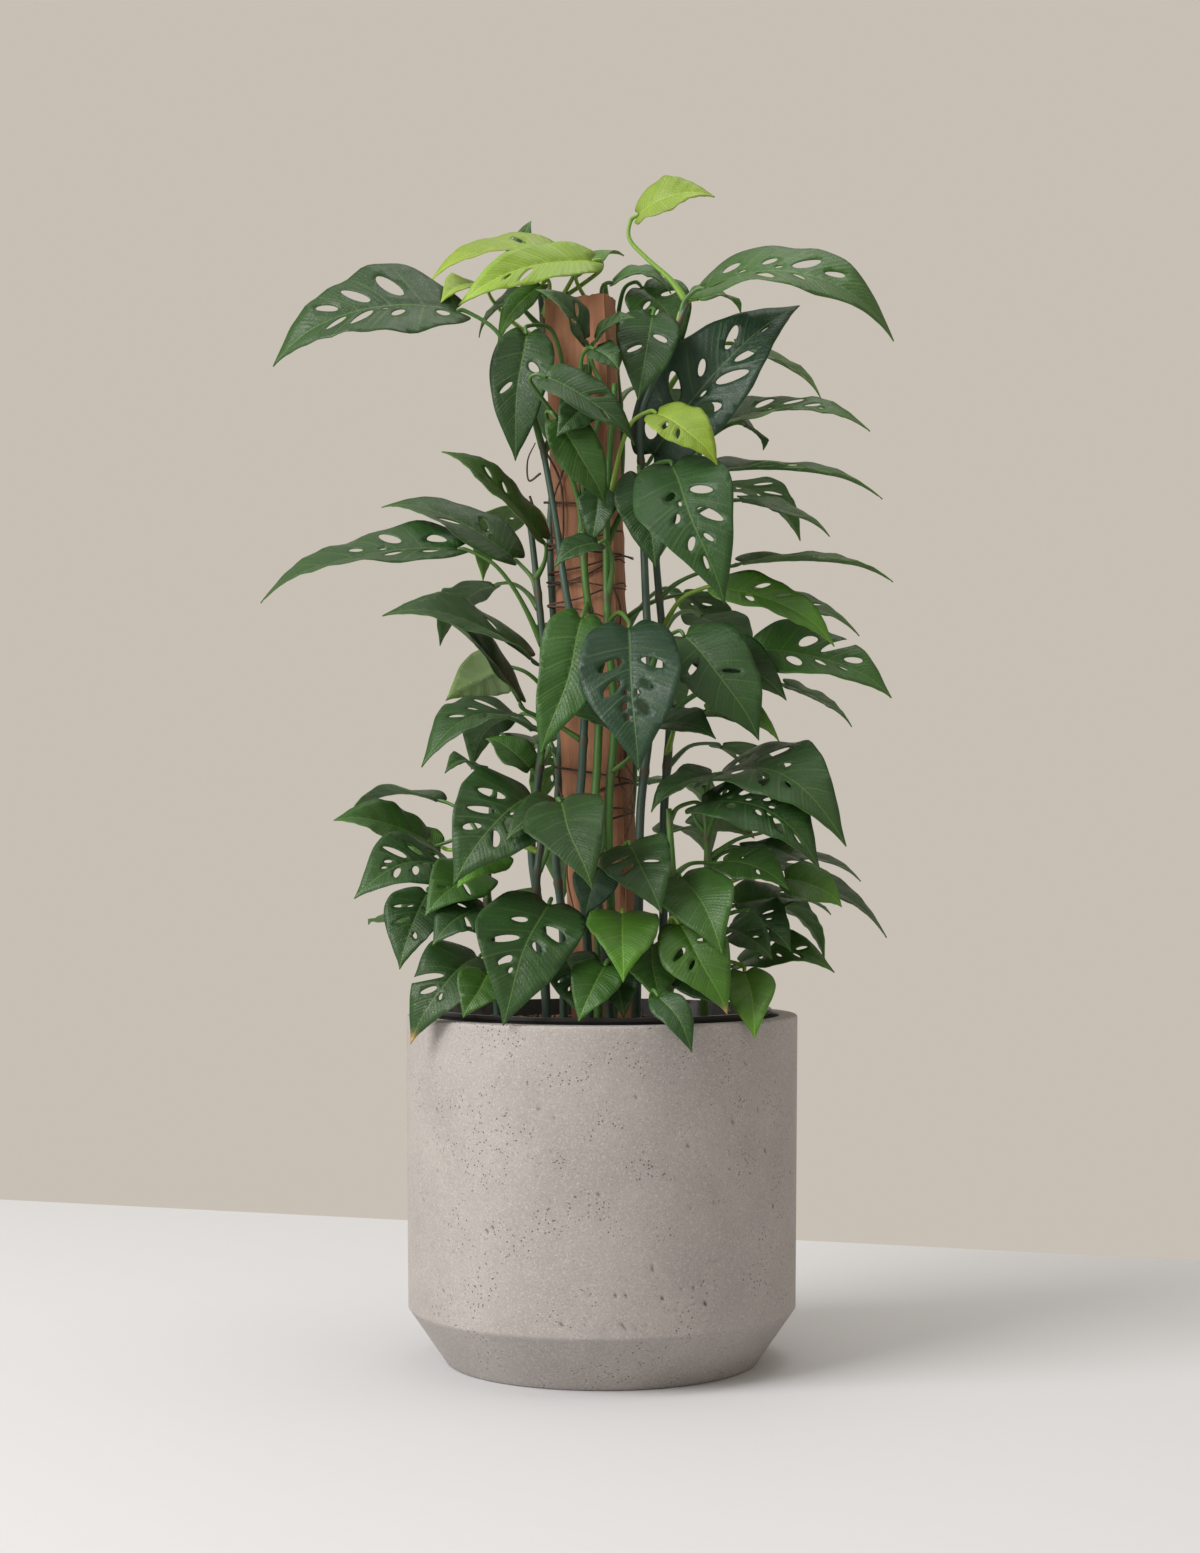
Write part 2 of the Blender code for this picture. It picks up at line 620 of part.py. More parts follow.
def swings():
    """Small changes of a blade's place, the smallest first: depth of tip, of base, and face."""
    steps = [(tip, base, face) for tip in TIP_SWINGS for base in BASE_SWINGS for face in FACE_SWINGS]
    return sorted(steps, key=lambda step: sum(abs(part) * cost for part, cost in zip(step, SWING_COSTS)))


def bows():
    """Offsets that bend a petiole round what is in its way, the smallest first."""
    found = [Vector()]
    for size in BOW_SIZES:
        for turn in range(0, 360, BOW_TURN):
            found.append(size * compass(turn))
        found += [Vector((0, 0, size)), Vector((0, 0, -size))]
    return found


def swung(leaf, step):
    tip, base, face = step
    depth = -compass(leaf.front)
    if leaf.front != FRONT:
        depth = depth.cross(Vector((0, 0, 1)))
    return leaf._replace(
        tip=tuple(Vector(leaf.tip) + tip * depth),
        base=tuple(Vector(leaf.base) + base * depth),
        face=leaf.face + face,
    )


def clear_petiole(vine, leaf, standing):
    """The petiole with the least bow that is clear, and how much it still crosses."""
    best = None
    blade = [(None, tree(blade_shape(leaf, BLADE_THICKNESS, plain=True)))]
    for bow in bows():
        path = petiole_path(vine, leaf, bow)
        shape = tube(path, petiole_radii(path, PROBE_ROOM), 4)
        stems = [item for item in standing.stems if item[0] != vine]
        others, own = standing.crossings(shape, vine, (stems, standing.blades))
        more, _ = standing.crossings(shape, vine, (standing.petioles,))
        stalk = tube(path[:-1], petiole_radii(path, PROBE_ROOM)[:-1], 4)
        folded, _ = standing.crossings(stalk, vine, (blade,))
        cost = GRAVE * (others + more + folded + sharp_turns(path)) + own
        if best is None or cost < best[0]:
            best = (cost, path)
        if cost == 0:
            break
    return best


def place(vine, leaf, standing):
    """The leaf swung clear of what stands, with its petiole's path."""
    best = None
    for step in swings():
        tried = swung(leaf, step)
        shape = blade_shape(tried, BLADE_THICKNESS, plain=True)
        others, own = standing.crossings(shape, vine, (standing.stems, standing.blades, standing.petioles))
        cost = GRAVE * others + own
        if best is not None and cost >= best[0]:
            continue
        petiole_cost, path = clear_petiole(vine, tried, standing)
        if best is None or cost + petiole_cost < best[0]:
            best = (cost + petiole_cost, tried, path)
        if best[0] == 0:
            break
    cost, leaf, path = best
    if cost:
        print(f"{vine} foot {leaf.foot}: crossing cost {cost}")
    room = 2 * CLEARANCE + BLADE_THICKNESS
    standing.blades.append((vine, tree(blade_shape(leaf, room, plain=True))))
    standing.petioles.append((vine, tree(tube(path, petiole_radii(path, CLEARANCE), 4))))
    return leaf, path


def fan_leaves(name, draw):
    low, high, count, middle, spread, (shortest, longest) = FANS[name]
    leaves = []
    for index in range(count):
        foot = low + (high - low) * (index + 0.5) / count
        side = 1 if index % 2 else -1
        angle = middle + side * spread * draw.uniform(*FAN_SPREAD)
        length = draw.uniform(shortest, longest)
        out = compass(angle)
        base = point_on_stem(name, foot) + out * length * draw.uniform(*FAN_REACH)
        base.z += draw.uniform(*FAN_RISE)
        drop = math.radians(draw.uniform(*FAN_DROP))
        tip = base + length * (out * math.cos(drop) - Vector((0, 0, math.sin(drop))))
        style = FAN_STYLES[index % len(FAN_STYLES)]
        width = round(FAN_WIDTH * length)
        leaves.append(Leaf(round(foot), tuple(base), tuple(tip), width, FAN_FACE, FAN_ARCH, style, angle))
    return leaves


# Pieces
def planter_profile():
    rim, foot = PLANTER_RADIUS, PLANTER_FOOT_RADIUS
    edge = PLANTER_EDGE
    shoulder = rim - PLANTER_DRAFT
    inner_foot = foot - PLANTER_WALL + edge
    return (
        (0, 0),
        (foot - edge, 0),
        (foot, edge),
        (shoulder, PLANTER_CONE_HEIGHT),
        (rim, PLANTER_HEIGHT - edge),
        (rim - edge, PLANTER_HEIGHT),
        (rim - PLANTER_WALL + edge, PLANTER_HEIGHT),
        (rim - PLANTER_WALL, PLANTER_HEIGHT - edge),
        (shoulder - PLANTER_WALL, PLANTER_CONE_HEIGHT + edge),
        (inner_foot, PLANTER_FLOOR),
        (0, PLANTER_FLOOR),
    )


def pot_radius(height):
    """The nursery pot's outer radius at a height."""
    share = (height - PLANTER_FLOOR) / (POT_TOP - PLANTER_FLOOR)
    return POT_FOOT_RADIUS + (POT_RIM_RADIUS - POT_FOOT_RADIUS) * share


def pot_profile():
    foot = PLANTER_FLOOR + GAP
    floor = foot + POT_WALL
    lip = POT_TOP - POT_LIP
    return (
        (0, foot),
        (pot_radius(foot), foot),
        (pot_radius(lip), lip),
        (pot_radius(lip) + POT_WALL, lip),
        (pot_radius(lip) + POT_WALL, POT_TOP),
        (pot_radius(POT_TOP) - POT_WALL, POT_TOP),
        (pot_radius(floor) - POT_WALL, floor),
        (0, floor),
    )


def soil_profile():
    low = PLANTER_FLOOR + GAP + POT_WALL + GAP
    inset = POT_WALL + GAP
    return (
        (0, low),
        (pot_radius(low) - inset, low),
        (pot_radius(SOIL_TOP) - inset, SOIL_TOP),
        (0, SOIL_TOP),
    )


def board_shape(room=0):
    """The leaning board as a box with its long edges eased, or the hole that it stands in."""
    axis = unit(Vector(BOARD_TOP) - Vector(BOARD_FOOT))
    face = Matrix.Rotation(math.radians(BOARD_TURN), 3, "Z")
    wide = face @ Vector((1, 0, 0))
    deep = unit(axis.cross(wide))
    wide = deep.cross(axis)
    half_across = BOARD_WIDTH / 2 + room
    half_depth = BOARD_THICKNESS / 2 + room
    ease = BOARD_EDGE
    corners = []
    for x, y in ((-1, -1), (1, -1), (1, 1), (-1, 1)):
        by_side = (x * half_across, y * (half_depth - ease))
        by_face = (x * (half_across - ease), y * half_depth)
        corners += [by_side, by_face] if x * y > 0 else [by_face, by_side]
    ends = (Vector(BOARD_FOOT) - room * axis, Vector(BOARD_TOP))
    points = [end + a * wide + b * deep for end in ends for a, b in corners]
    count = len(corners)
    triangles = []
    for i in range(count):
        j = (i + 1) % count
        triangles += [(i, j, j + count), (i, j + count, i + count)]
    for i in range(1, count - 1):
        triangles += [(0, i + 1, i), (count, count + i, count + i + 1)]
    return Shape(points, triangles)


def stem_hole(name):
    path = stem_path(name)
    radius = (STEM_RADIUS + GAP) / math.cos(math.pi / HOLE_SIDES)
    ends = [path[0] - Vector((0, 0, GAP)), Vector((path[0].x, path[0].y, SOIL_TOP + HOLE_PAST))]
    return tube(ends, (radius, radius), HOLE_SIDES)


# Boolean joins
def combine(made, shapes, operation):
    """Joins shapes to an object, or cuts them from it, and keeps the result as its mesh."""
    group = bpy.data.collections.new(f"{made.name} parts")
    bpy.context.scene.collection.children.link(group)
    finish = made.data.materials[0]
    helpers = [add_object(f"{made.name} part", mesh_of("part", shape), finish, group) for shape in shapes]
    join = made.modifiers.new("join", "BOOLEAN")
    join.operation = operation
    join.operand_type = "COLLECTION"
    join.collection = group
    join.solver = "EXACT"
    graph = bpy.context.evaluated_depsgraph_get()
    result = bpy.data.meshes.new_from_object(made.evaluated_get(graph))
    made.modifiers.remove(join)
    made.data = result
    for helper in helpers:
        bpy.data.objects.remove(helper)
    bpy.data.collections.remove(group)
    tidy(made)


def tidy(made):
    """Merges the join's doubled corners and drops any loose scrap."""
    work = bmesh.new()
    work.from_mesh(made.data)
    bmesh.ops.triangulate(work, faces=work.faces)
    bmesh.ops.remove_doubles(work, verts=work.verts, dist=MERGE)
    bmesh.ops.dissolve_degenerate(work, edges=work.edges, dist=MERGE)
    bmesh.ops.triangulate(work, faces=work.faces)
    scraps = loose_scraps(work)
    bmesh.ops.delete(work, geom=scraps, context="VERTS")
    work.to_mesh(made.data)
    work.free()


def loose_scraps(work):
    """The points of every island but the largest."""
    islands, seen = [], set()
    for start in work.verts:
        if start in seen:
            continue
        island, queue = [], [start]
        seen.add(start)
        while queue:
            point = queue.pop()
            island.append(point)
            for edge in point.link_edges:
                other = edge.other_vert(point)
                if other not in seen:
                    seen.add(other)
                    queue.append(other)
        islands.append(island)
    islands.sort(key=len)
    return [point for island in islands[:-1] for point in island]


def build_pots():
    concrete = material("concrete", (0.45, 0.39, 0.36), 0.75)
    black = material("black_plastic", (0.02, 0.02, 0.02), 0.4)
    mix = material("potting_mix", (0.05, 0.035, 0.025), 0.95)
    add_object("planter", mesh_of("planter", turned(planter_profile(), PLANTER_SIDES)), concrete)
    add_object("grow_pot", mesh_of("grow_pot", turned(pot_profile(), POT_SIDES)), black)
    soil = add_object("soil", mesh_of("soil", turned(soil_profile(), POT_SIDES)), mix)
    combine(soil, [stem_hole(name) for name in STEMS] + [board_shape(GAP)], "DIFFERENCE")


def build_board():
    wood = material("rough_wood", (0.36, 0.17, 0.09), 0.8)
    add_object("board", mesh_of("board", board_shape()), wood)


def fixed_pieces():
    """What the leaves keep clear of, with a vine's name or the piece's own."""
    standing = Clearing()
    for name in STEMS:
        standing.stems.append((name, tree(stem_shape(name, PROBE_ROOM))))
    standing.stems.append(("board", tree(board_shape(CLEARANCE))))
    standing.stems.append(("planter", tree(turned(planter_profile(), PLANTER_SIDES))))
    standing.stems.append(("grow_pot", tree(turned(pot_profile(), POT_SIDES))))
    standing.stems.append(("soil", tree(turned(soil_profile(), POT_SIDES))))
    return standing


def build_vines():
    green = material("leaf_green", (0.06, 0.17, 0.05), 0.45)
    standing = fixed_pieces()
    draw = random.Random(FAN_SEED)
    grown = {name: [] for name in STEMS}
    for name in STEMS:
        for leaf in LEAVES.get(name, []):
            grown[name].append(place(name, leaf, standing))
    for name in FANS:
        for leaf in fan_leaves(name, draw):
            grown[name].append(place(name, leaf, standing))
    for name, leaves in grown.items():
        vine = add_object(name, mesh_of(name, stem_shape(name)), green)
        shapes = [blade_shape(leaf, BLADE_THICKNESS, path=path) for leaf, path in leaves]
        combine(vine, shapes, "UNION")


def main():
    for old in list(bpy.data.objects):
        bpy.data.objects.remove(old)
    build_pots()
    build_board()
    build_vines()


main()
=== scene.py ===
# %% [markdown]
# # A Swiss cheese vine on a board, in a cast planter
#
# The plant is a Monstera adansonii: fourteen stems that climb a rough sawn board, in a nursery pot that
# stands inside a straight stone planter. The frame holds plain solids of all of them. This lesson builds
# the finished surfaces round that frame: cast stone, sawn wood, potting mix, stems, and leaves with
# windows and veins. Lengths in the frame are metres, +Z is up and the front is -Y.

# %% Load the frame
import math
import random
from collections import namedtuple

import bmesh
import bpy
import numpy as np
from mathutils import Matrix, Vector, noise
from mathutils.bvhtree import BVHTree
from mathutils.geometry import delaunay_2d_cdt


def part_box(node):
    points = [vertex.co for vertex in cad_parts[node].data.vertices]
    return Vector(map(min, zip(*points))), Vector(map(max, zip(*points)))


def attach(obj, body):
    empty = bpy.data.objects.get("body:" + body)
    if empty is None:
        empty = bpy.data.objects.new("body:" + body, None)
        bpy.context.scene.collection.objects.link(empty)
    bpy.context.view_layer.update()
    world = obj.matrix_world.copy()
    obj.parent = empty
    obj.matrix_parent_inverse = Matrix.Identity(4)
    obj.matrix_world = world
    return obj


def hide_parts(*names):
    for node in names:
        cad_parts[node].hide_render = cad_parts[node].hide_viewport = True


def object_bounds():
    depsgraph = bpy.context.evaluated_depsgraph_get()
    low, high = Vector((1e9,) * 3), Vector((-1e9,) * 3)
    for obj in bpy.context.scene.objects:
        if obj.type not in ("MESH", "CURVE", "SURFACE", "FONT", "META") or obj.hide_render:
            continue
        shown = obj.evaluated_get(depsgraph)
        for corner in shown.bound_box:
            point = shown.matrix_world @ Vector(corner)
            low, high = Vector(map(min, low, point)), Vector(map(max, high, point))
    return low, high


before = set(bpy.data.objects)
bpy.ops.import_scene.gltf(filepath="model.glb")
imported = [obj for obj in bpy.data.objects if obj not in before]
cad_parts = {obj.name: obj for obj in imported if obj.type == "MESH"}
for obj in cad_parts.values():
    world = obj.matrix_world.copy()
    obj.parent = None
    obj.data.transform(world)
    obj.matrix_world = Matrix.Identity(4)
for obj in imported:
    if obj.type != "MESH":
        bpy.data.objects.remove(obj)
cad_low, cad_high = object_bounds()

MM = 0.001
spans = [round((high - low) / MM) for low, high in zip(cad_low, cad_high)]
print("frame:", len(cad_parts), "nodes,", spans, "mm")

# %% [markdown]
# ## Small helpers for working by hand
#
# Operators act on everything that is selected, and a loaded frame comes in selected. So each piece starts
# from an empty selection, and faces are then picked in code by where they are or by which way they point,
# as a person would pick them with the mouse.


# %% Selection helpers
def deselect_all():
    if bpy.context.object and bpy.context.object.mode != "OBJECT":
        bpy.ops.object.mode_set(mode="OBJECT")
    bpy.ops.object.select_all(action="DESELECT")


def only(piece):
    """Selects one piece alone and makes it the active one."""
    deselect_all()
    piece.select_set(True)
    bpy.context.view_layer.objects.active = piece


def name_it(name):
    """Names the piece that an operator has just made."""
    made = bpy.context.object
    made.name = name
    made.data.name = name
    return made


def edit(piece, kind="FACE"):
    """Opens the piece for editing, with nothing picked."""
    bpy.context.view_layer.objects.active = piece
    bpy.ops.object.mode_set(mode="EDIT")
    bpy.ops.mesh.select_mode(type=kind)
    bpy.ops.mesh.select_all(action="DESELECT")


def pick(piece, wanted, kind="faces"):
    """Selects the faces, edges or verts of a piece in edit mode that the test wants."""
    work = bmesh.from_edit_mesh(piece.data)
    for part in getattr(work, kind):
        part.select_set(bool(wanted(part)))
    work.select_flush_mode()
    bmesh.update_edit_mesh(piece.data)


def end_edit():
    """Turns every face outwards and leaves edit mode."""
    bpy.ops.mesh.select_all(action="SELECT")
    bpy.ops.mesh.normals_make_consistent(inside=False)
    bpy.ops.object.mode_set(mode="OBJECT")


def settle(piece):
    """Puts the piece's place and turn into its mesh."""
    only(piece)
    bpy.ops.object.transform_apply(location=True, rotation=True, scale=True)


def shade(piece, degrees):
    """Shades smooth, but keeps edges sharp that turn by more than the angle."""
    only(piece)
    bpy.ops.object.shade_smooth_by_angle(angle=math.radians(degrees))


def add_object(name, data):
    """Puts new data into the scene as an object of that name."""
    made = bpy.data.objects.new(name, data)
    bpy.context.scene.collection.objects.link(made)
    return made


def dress(piece, finish, slot, *nodes):
    """Gives a piece its finish, its body and the solids that it stands for."""
    if finish:
        piece.data.materials.clear()
        piece.data.materials.append(finish)
    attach(piece, "root")
    if nodes:
        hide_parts(*nodes)
    piece.data.calc_loop_triangles()
    print(f"{piece.name}: {len(piece.data.loop_triangles)} triangles")
    return piece


# %% [markdown]
# ## Small helpers for finishes
#
# A finish is a tree of shader nodes. `node` adds one node, sets it up, and links or fills its inputs, so
# that a finish reads from top to bottom like a recipe. Patterns are placed by Object coordinates, which
# are millimetre-true here because every piece sits at the origin.


# %% Shader helpers
def feed(tree, socket, value):
    """Links a pattern to a socket, or sets the socket to a plain value."""
    if isinstance(value, bpy.types.NodeSocket):
        tree.links.new(value, socket)
    else:
        socket.default_value = value


def node(tree, kind, inputs=(), **settings):
    """A shader node with its settings and inputs."""
    made = tree.nodes.new("ShaderNode" + kind)
    for key, value in settings.items():
        setattr(made, key, value)
    for place, value in dict(inputs).items():
        feed(tree, made.inputs[place], value)
    return made


def new_finish(name, colour):
    """A new finish, its tree, and the place of each point, which the patterns read."""
    finish = bpy.data.materials.new(name)
    finish.use_nodes = True
    finish.diffuse_color = (*colour, 1)
    tree = finish.node_tree
    return finish, tree, node(tree, "TexCoord").outputs["Object"]


def end_finish(finish, base, rough, normal=None):
    """Gives the shader its colour, its roughness and its relief."""
    tree = finish.node_tree
    inputs = tree.nodes["Principled BSDF"].inputs
    feed(tree, inputs["Base Color"], base)
    feed(tree, inputs["Roughness"], rough)
    if normal:
        feed(tree, inputs["Normal"], normal)
    return finish


def maths(tree, operation, a, b=0.0):
    return node(tree, "Math", {0: a, 1: b}, operation=operation).outputs[0]


def times(tree, colour, factors):
    """A colour multiplied by another."""
    return mix(tree, 1.0, colour, factors, "MULTIPLY")


def attribute(tree, name, output="Fac"):
    """A value that the mesh itself carries."""
    return node(tree, "Attribute", attribute_name=name).outputs[output]


def cells(tree, place, scale, **settings):
    """A pattern of small cells. Its colour is plain within each of them."""
    return node(tree, "TexVoronoi", {"Vector": place, "Scale": scale}, **settings)


def ramp(tree, value, low, high, start=0.0, end=1.0):
    """Start below low, end above high, and a smooth step between."""
    made = node(tree, "MapRange", {"Value": value, "From Min": low, "From Max": high, "To Min": start,
                                   "To Max": end}, interpolation_type="SMOOTHSTEP")
    return made.outputs["Result"]


def mix(tree, share, a, b, blend="MIX"):
    made = node(tree, "Mix", {"Factor": share}, data_type="RGBA", blend_type=blend)
    for place, value in (("A", a), ("B", b)):
        socket = next(s for s in made.inputs if s.name == place and s.type == "RGBA")
        feed(tree, socket, value if isinstance(value, bpy.types.NodeSocket) else (*value, 1))
    return next(s for s in made.outputs if s.type == "RGBA")


def grain(tree, place, scale, detail=3.0, rough=0.6):
    """Noise whose scale is in lumps per metre."""
    return node(tree, "TexNoise", {"Vector": place, "Scale": scale, "Detail": detail,
                                   "Roughness": rough}).outputs["Fac"]


def stretched(tree, place, scale):
    return node(tree, "Mapping", {"Vector": place, "Scale": scale}).outputs["Vector"]


def bump(tree, height, depth_mm, strength=1.0, below=None):
    inputs = {"Height": height, "Distance": depth_mm * MM, "Strength": strength}
    if below is not None:
        inputs["Normal"] = below
    return node(tree, "Bump", inputs).outputs["Normal"]


# %% [markdown]
# ## Camera, floor and light
#
# The photograph looks straight at the plant from about two metres, at mid height, with a normal lens. The
# lens is shifted up a little instead of the camera being tilted, which keeps the planter's sides upright.
# The floor is a pale table whose far edge runs at a slant behind the planter, in front of a warm pale wall.

# %% Camera
CAMERA_PLACE = (-0.0016, -2.05, 0.409)
CAMERA_LENS = 57.9
CAMERA_SHIFT = 83.5 / 1553

deselect_all()
bpy.ops.object.camera_add(location=CAMERA_PLACE, rotation=(math.radians(90), 0, 0))
camera = bpy.context.object
camera.name = "camera"
camera.data.lens = CAMERA_LENS
camera.data.shift_y = CAMERA_SHIFT
bpy.context.scene.camera = camera

# %% Floor and backdrop colour
FLOOR_EDGE_AT = 0.71
FLOOR_EDGE_TURN = -19
FLOOR_SIZE = (9.0, 7.0)
FLOOR_COLOUR = (0.575, 0.58, 0.605)
FLOOR_SHADE = (0.5, 0.49, 0.5)
WALL_COLOUR = (0.575, 0.525, 0.455)

deselect_all()
bpy.ops.mesh.primitive_plane_add(size=1, location=(0, -FLOOR_SIZE[1] / 2, 0))
floor = name_it("floor")
floor.scale = (*FLOOR_SIZE, 1)
settle(floor)
floor.rotation_euler.z = math.radians(FLOOR_EDGE_TURN)
floor.location.y = FLOOR_EDGE_AT
settle(floor)
floor_finish, tree, where = new_finish("pale floor", FLOOR_COLOUR)
cloud = ramp(tree, grain(tree, where, 60), 0.3, 0.7, 0.0, 0.05)
floor.data.materials.append(end_finish(floor_finish, mix(tree, cloud, FLOOR_COLOUR, FLOOR_SHADE), 0.7))

world = bpy.data.worlds.new("pale wall")
bpy.context.scene.world = world
world.use_nodes = True
world.node_tree.nodes["Background"].inputs["Color"].default_value = (*WALL_COLOUR, 1)
world.node_tree.nodes["Background"].inputs["Strength"].default_value = 1.0
bpy.context.scene.view_settings.view_transform = "Standard"


# %% Lamps
def soft_lamp(name, place, aim, size, watts, colour):
    deselect_all()
    bpy.ops.object.light_add(type="AREA", location=place)
    lamp = bpy.context.object
    lamp.name = name
    lamp.data.size = size
    lamp.data.energy = watts
    lamp.data.color = colour
    lamp.rotation_euler = (Vector(aim) - Vector(place)).to_track_quat("-Z", "Y").to_euler()


soft_lamp("key lamp", (-3.2, -2.1, 2.9), (0, 0, 0.4), 2.8, 250, (1.0, 0.985, 0.965))
soft_lamp("top lamp", (0.3, 0.3, 3.0), (0, 0, 0.3), 1.8, 22, (1.0, 0.99, 0.98))
print("lamps set, floor edge", FLOOR_EDGE_AT, "m behind the plant")

# %% [markdown]
# ## The planter
#
# The planter is cast stone: a straight drum with a hardly visible draft, on a short cone. It starts as a
# cylinder. The top face is inset and pushed down for the inside, a cut round the wall marks the chamfer,
# and the foot is drawn in below it. Rows of cuts then give the wall enough points for real pits.

# %% Planter sizes
PLANTER_RADIUS = 160
PLANTER_HEIGHT = 283
PLANTER_WALL = 16
PLANTER_FLOOR = 20
PLANTER_FOOT_RADIUS = 127
PLANTER_CONE_HEIGHT = 45.6
PLANTER_DRAFT = 1.6
PLANTER_EDGE = 2
FINE_SIDES = 384
WALL_ROW = 3.2


# %% Cuts and tests for the planter
def cut_rows(piece, heights, wanted):
    """Cuts the wanted faces level at each height, in millimetres."""
    for height in heights:
        pick(piece, wanted)
        bpy.ops.mesh.bisect(plane_co=(0, 0, height * MM), plane_no=(0, 0, 1))


def outside(face):
    """Whether a face looks away from the planter's axis."""
    middle = face.calc_center_median()
    return face.normal.x * middle.x + face.normal.y * middle.y > 0.2 * middle.xy.length


def rim_edge(edge):
    """Whether an edge runs round the planter's rim or its foot."""
    level = abs(edge.verts[0].co.z - edge.verts[1].co.z) < 1e-5
    height = edge.verts[0].co.z / MM
    around = abs(edge.verts[0].co.xy.length - edge.verts[1].co.xy.length) < 1e-5
    return level and around and (height > PLANTER_HEIGHT - 1 or height < 1)


# %% Planter body
def build_planter():
    deselect_all()
    height = PLANTER_HEIGHT * MM
    bpy.ops.mesh.primitive_cylinder_add(vertices=FINE_SIDES, radius=PLANTER_RADIUS * MM, depth=height,
                                        end_fill_type="NGON", location=(0, 0, height / 2))
    planter = name_it("cast_planter")
    settle(planter)
    edit(planter)
    pick(planter, lambda f: f.normal.z > 0.9)
    bpy.ops.mesh.inset(thickness=PLANTER_WALL * MM)
    bpy.ops.mesh.extrude_region_move(
        TRANSFORM_OT_translate={"value": (0, 0, (PLANTER_FLOOR - PLANTER_HEIGHT) * MM)})
    inner = (PLANTER_FOOT_RADIUS - PLANTER_WALL) / (PLANTER_RADIUS - PLANTER_WALL)
    bpy.ops.mesh.inset(thickness=0.3 * PLANTER_FOOT_RADIUS * MM)
    cut_rows(planter, [PLANTER_CONE_HEIGHT], lambda f: abs(f.normal.z) < 0.5)
    pick(planter, lambda v: v.co.z < 0.5 * PLANTER_CONE_HEIGHT * MM and v.co.z > 1 * MM, "verts")
    bpy.ops.transform.resize(value=(inner, inner, 1), center_override=(0, 0, 0))
    foot = PLANTER_FOOT_RADIUS / PLANTER_RADIUS
    pick(planter, lambda v: v.co.z < 1 * MM, "verts")
    bpy.ops.transform.resize(value=(foot, foot, 1), center_override=(0, 0, 0))
    draft = 1 - PLANTER_DRAFT / PLANTER_RADIUS
    pick(planter, lambda v: abs(v.co.z - PLANTER_CONE_HEIGHT * MM) < 1 * MM, "verts")
    bpy.ops.transform.resize(value=(draft, draft, 1), center_override=(0, 0, 0))
    bpy.ops.mesh.select_mode(type="EDGE")
    pick(planter, rim_edge, "edges")
    bpy.ops.mesh.bevel(offset=PLANTER_EDGE * MM, segments=4, affect="EDGES")
    bpy.ops.mesh.select_mode(type="FACE")
    rows = np.arange(PLANTER_EDGE + WALL_ROW, PLANTER_HEIGHT - 4, WALL_ROW)
    cut_rows(planter, rows, lambda f: outside(f) and abs(f.normal.z) < 0.9)
    end_edit()
    return planter


planter = build_planter()


# %% [markdown]
# ## Pits in the stone
#
# Cast stone shows patches of small pits where air was trapped against the mould. They are pushed into the
# wall as real dents: each is a short cone of depth round a seeded point, and the points gather in patches.


# %% Pit the wall
PIT_PATCHES = ((-120, 165, 46), (-140, 110, 40), (-82, 60, 34), (-45, 215, 60), (-60, 75, 30), (-25, 130, 40),
               (60, 120, 40), (150, 160, 50), (250, 190, 60))
PIT_COUNT = 34
PIT_SQUASH = 0.6
# The band of the wall that may have pits, inwards from its radius, and off its lower and upper edge
PIT_BAND = (4, 4, 8)
PIT_DEPTH = (0.8, 1.8)
PIT_RADIUS = (1.1, 2.2)


def pit_wall(planter):
    """Dents the outer wall. A patch is an angle, a height and a spread in millimetres."""
    draw = random.Random(11)
    mesh = planter.data
    places = np.empty(len(mesh.vertices) * 3, np.float32)
    mesh.vertices.foreach_get("co", places)
    places = places.reshape(-1, 3) / MM
    radius = np.hypot(places[:, 0], places[:, 1])
    turn = np.arctan2(places[:, 1], places[:, 0])
    inwards, low, high = PIT_BAND
    wall = radius > PLANTER_RADIUS - inwards
    wall &= (places[:, 2] > PLANTER_CONE_HEIGHT + low) & (places[:, 2] < PLANTER_HEIGHT - high)
    depth = np.zeros(len(places))
    for angle, height, spread in PIT_PATCHES:
        for _ in range(PIT_COUNT):
            at = math.radians(angle) + draw.gauss(0, spread) / PLANTER_RADIUS
            level = height + draw.gauss(0, spread * PIT_SQUASH)
            size = draw.uniform(*PIT_RADIUS)
            deep = draw.uniform(*PIT_DEPTH)
            aside = (np.mod(turn - at + math.pi, math.tau) - math.pi) * PLANTER_RADIUS
            off = np.hypot(aside, places[:, 2] - level) / size
            depth = np.maximum(depth, deep * np.clip(1 - off, 0, 1))
    depth[~wall] = 0
    share = 1 - depth / np.maximum(radius, 1)
    places[:, 0] *= share
    places[:, 1] *= share
    mesh.vertices.foreach_set("co", (places * MM).astype(np.float32).ravel())
    mark = mesh.attributes.new("pit", "FLOAT", "POINT")
    mark.data.foreach_set("value", np.clip(depth / PIT_DEPTH[1], 0, 1).astype(np.float32))
    mesh.update()
    print(len(PIT_PATCHES) * PIT_COUNT, "pits pressed into the wall")


pit_wall(planter)


# %% [markdown]
# ## The stone's finish
#
# Cast stone is a warm grey with slow clouds, fine sand of lighter and darker grains, and pinholes in
# patches. Each of them is one layer of the recipe. The pinholes and the pits of the mesh, found by their
# own mark, are darkened with painted shade, as shade falls inside them.

# %% Cast stone finish
STONE_CLOUDS = ((0.300, 0.276, 0.262), (0.350, 0.323, 0.307))
STONE_LIGHT_GRAIN = (0.50, 0.47, 0.45)
STONE_DARK_GRAIN = (0.20, 0.18, 0.17)
# The painted shade inside pinholes and pits
STONE_HOLE_SHADE = (0.09, 0.075, 0.065)
SAND_SCALE = 1100
PINHOLE_SCALE = 300


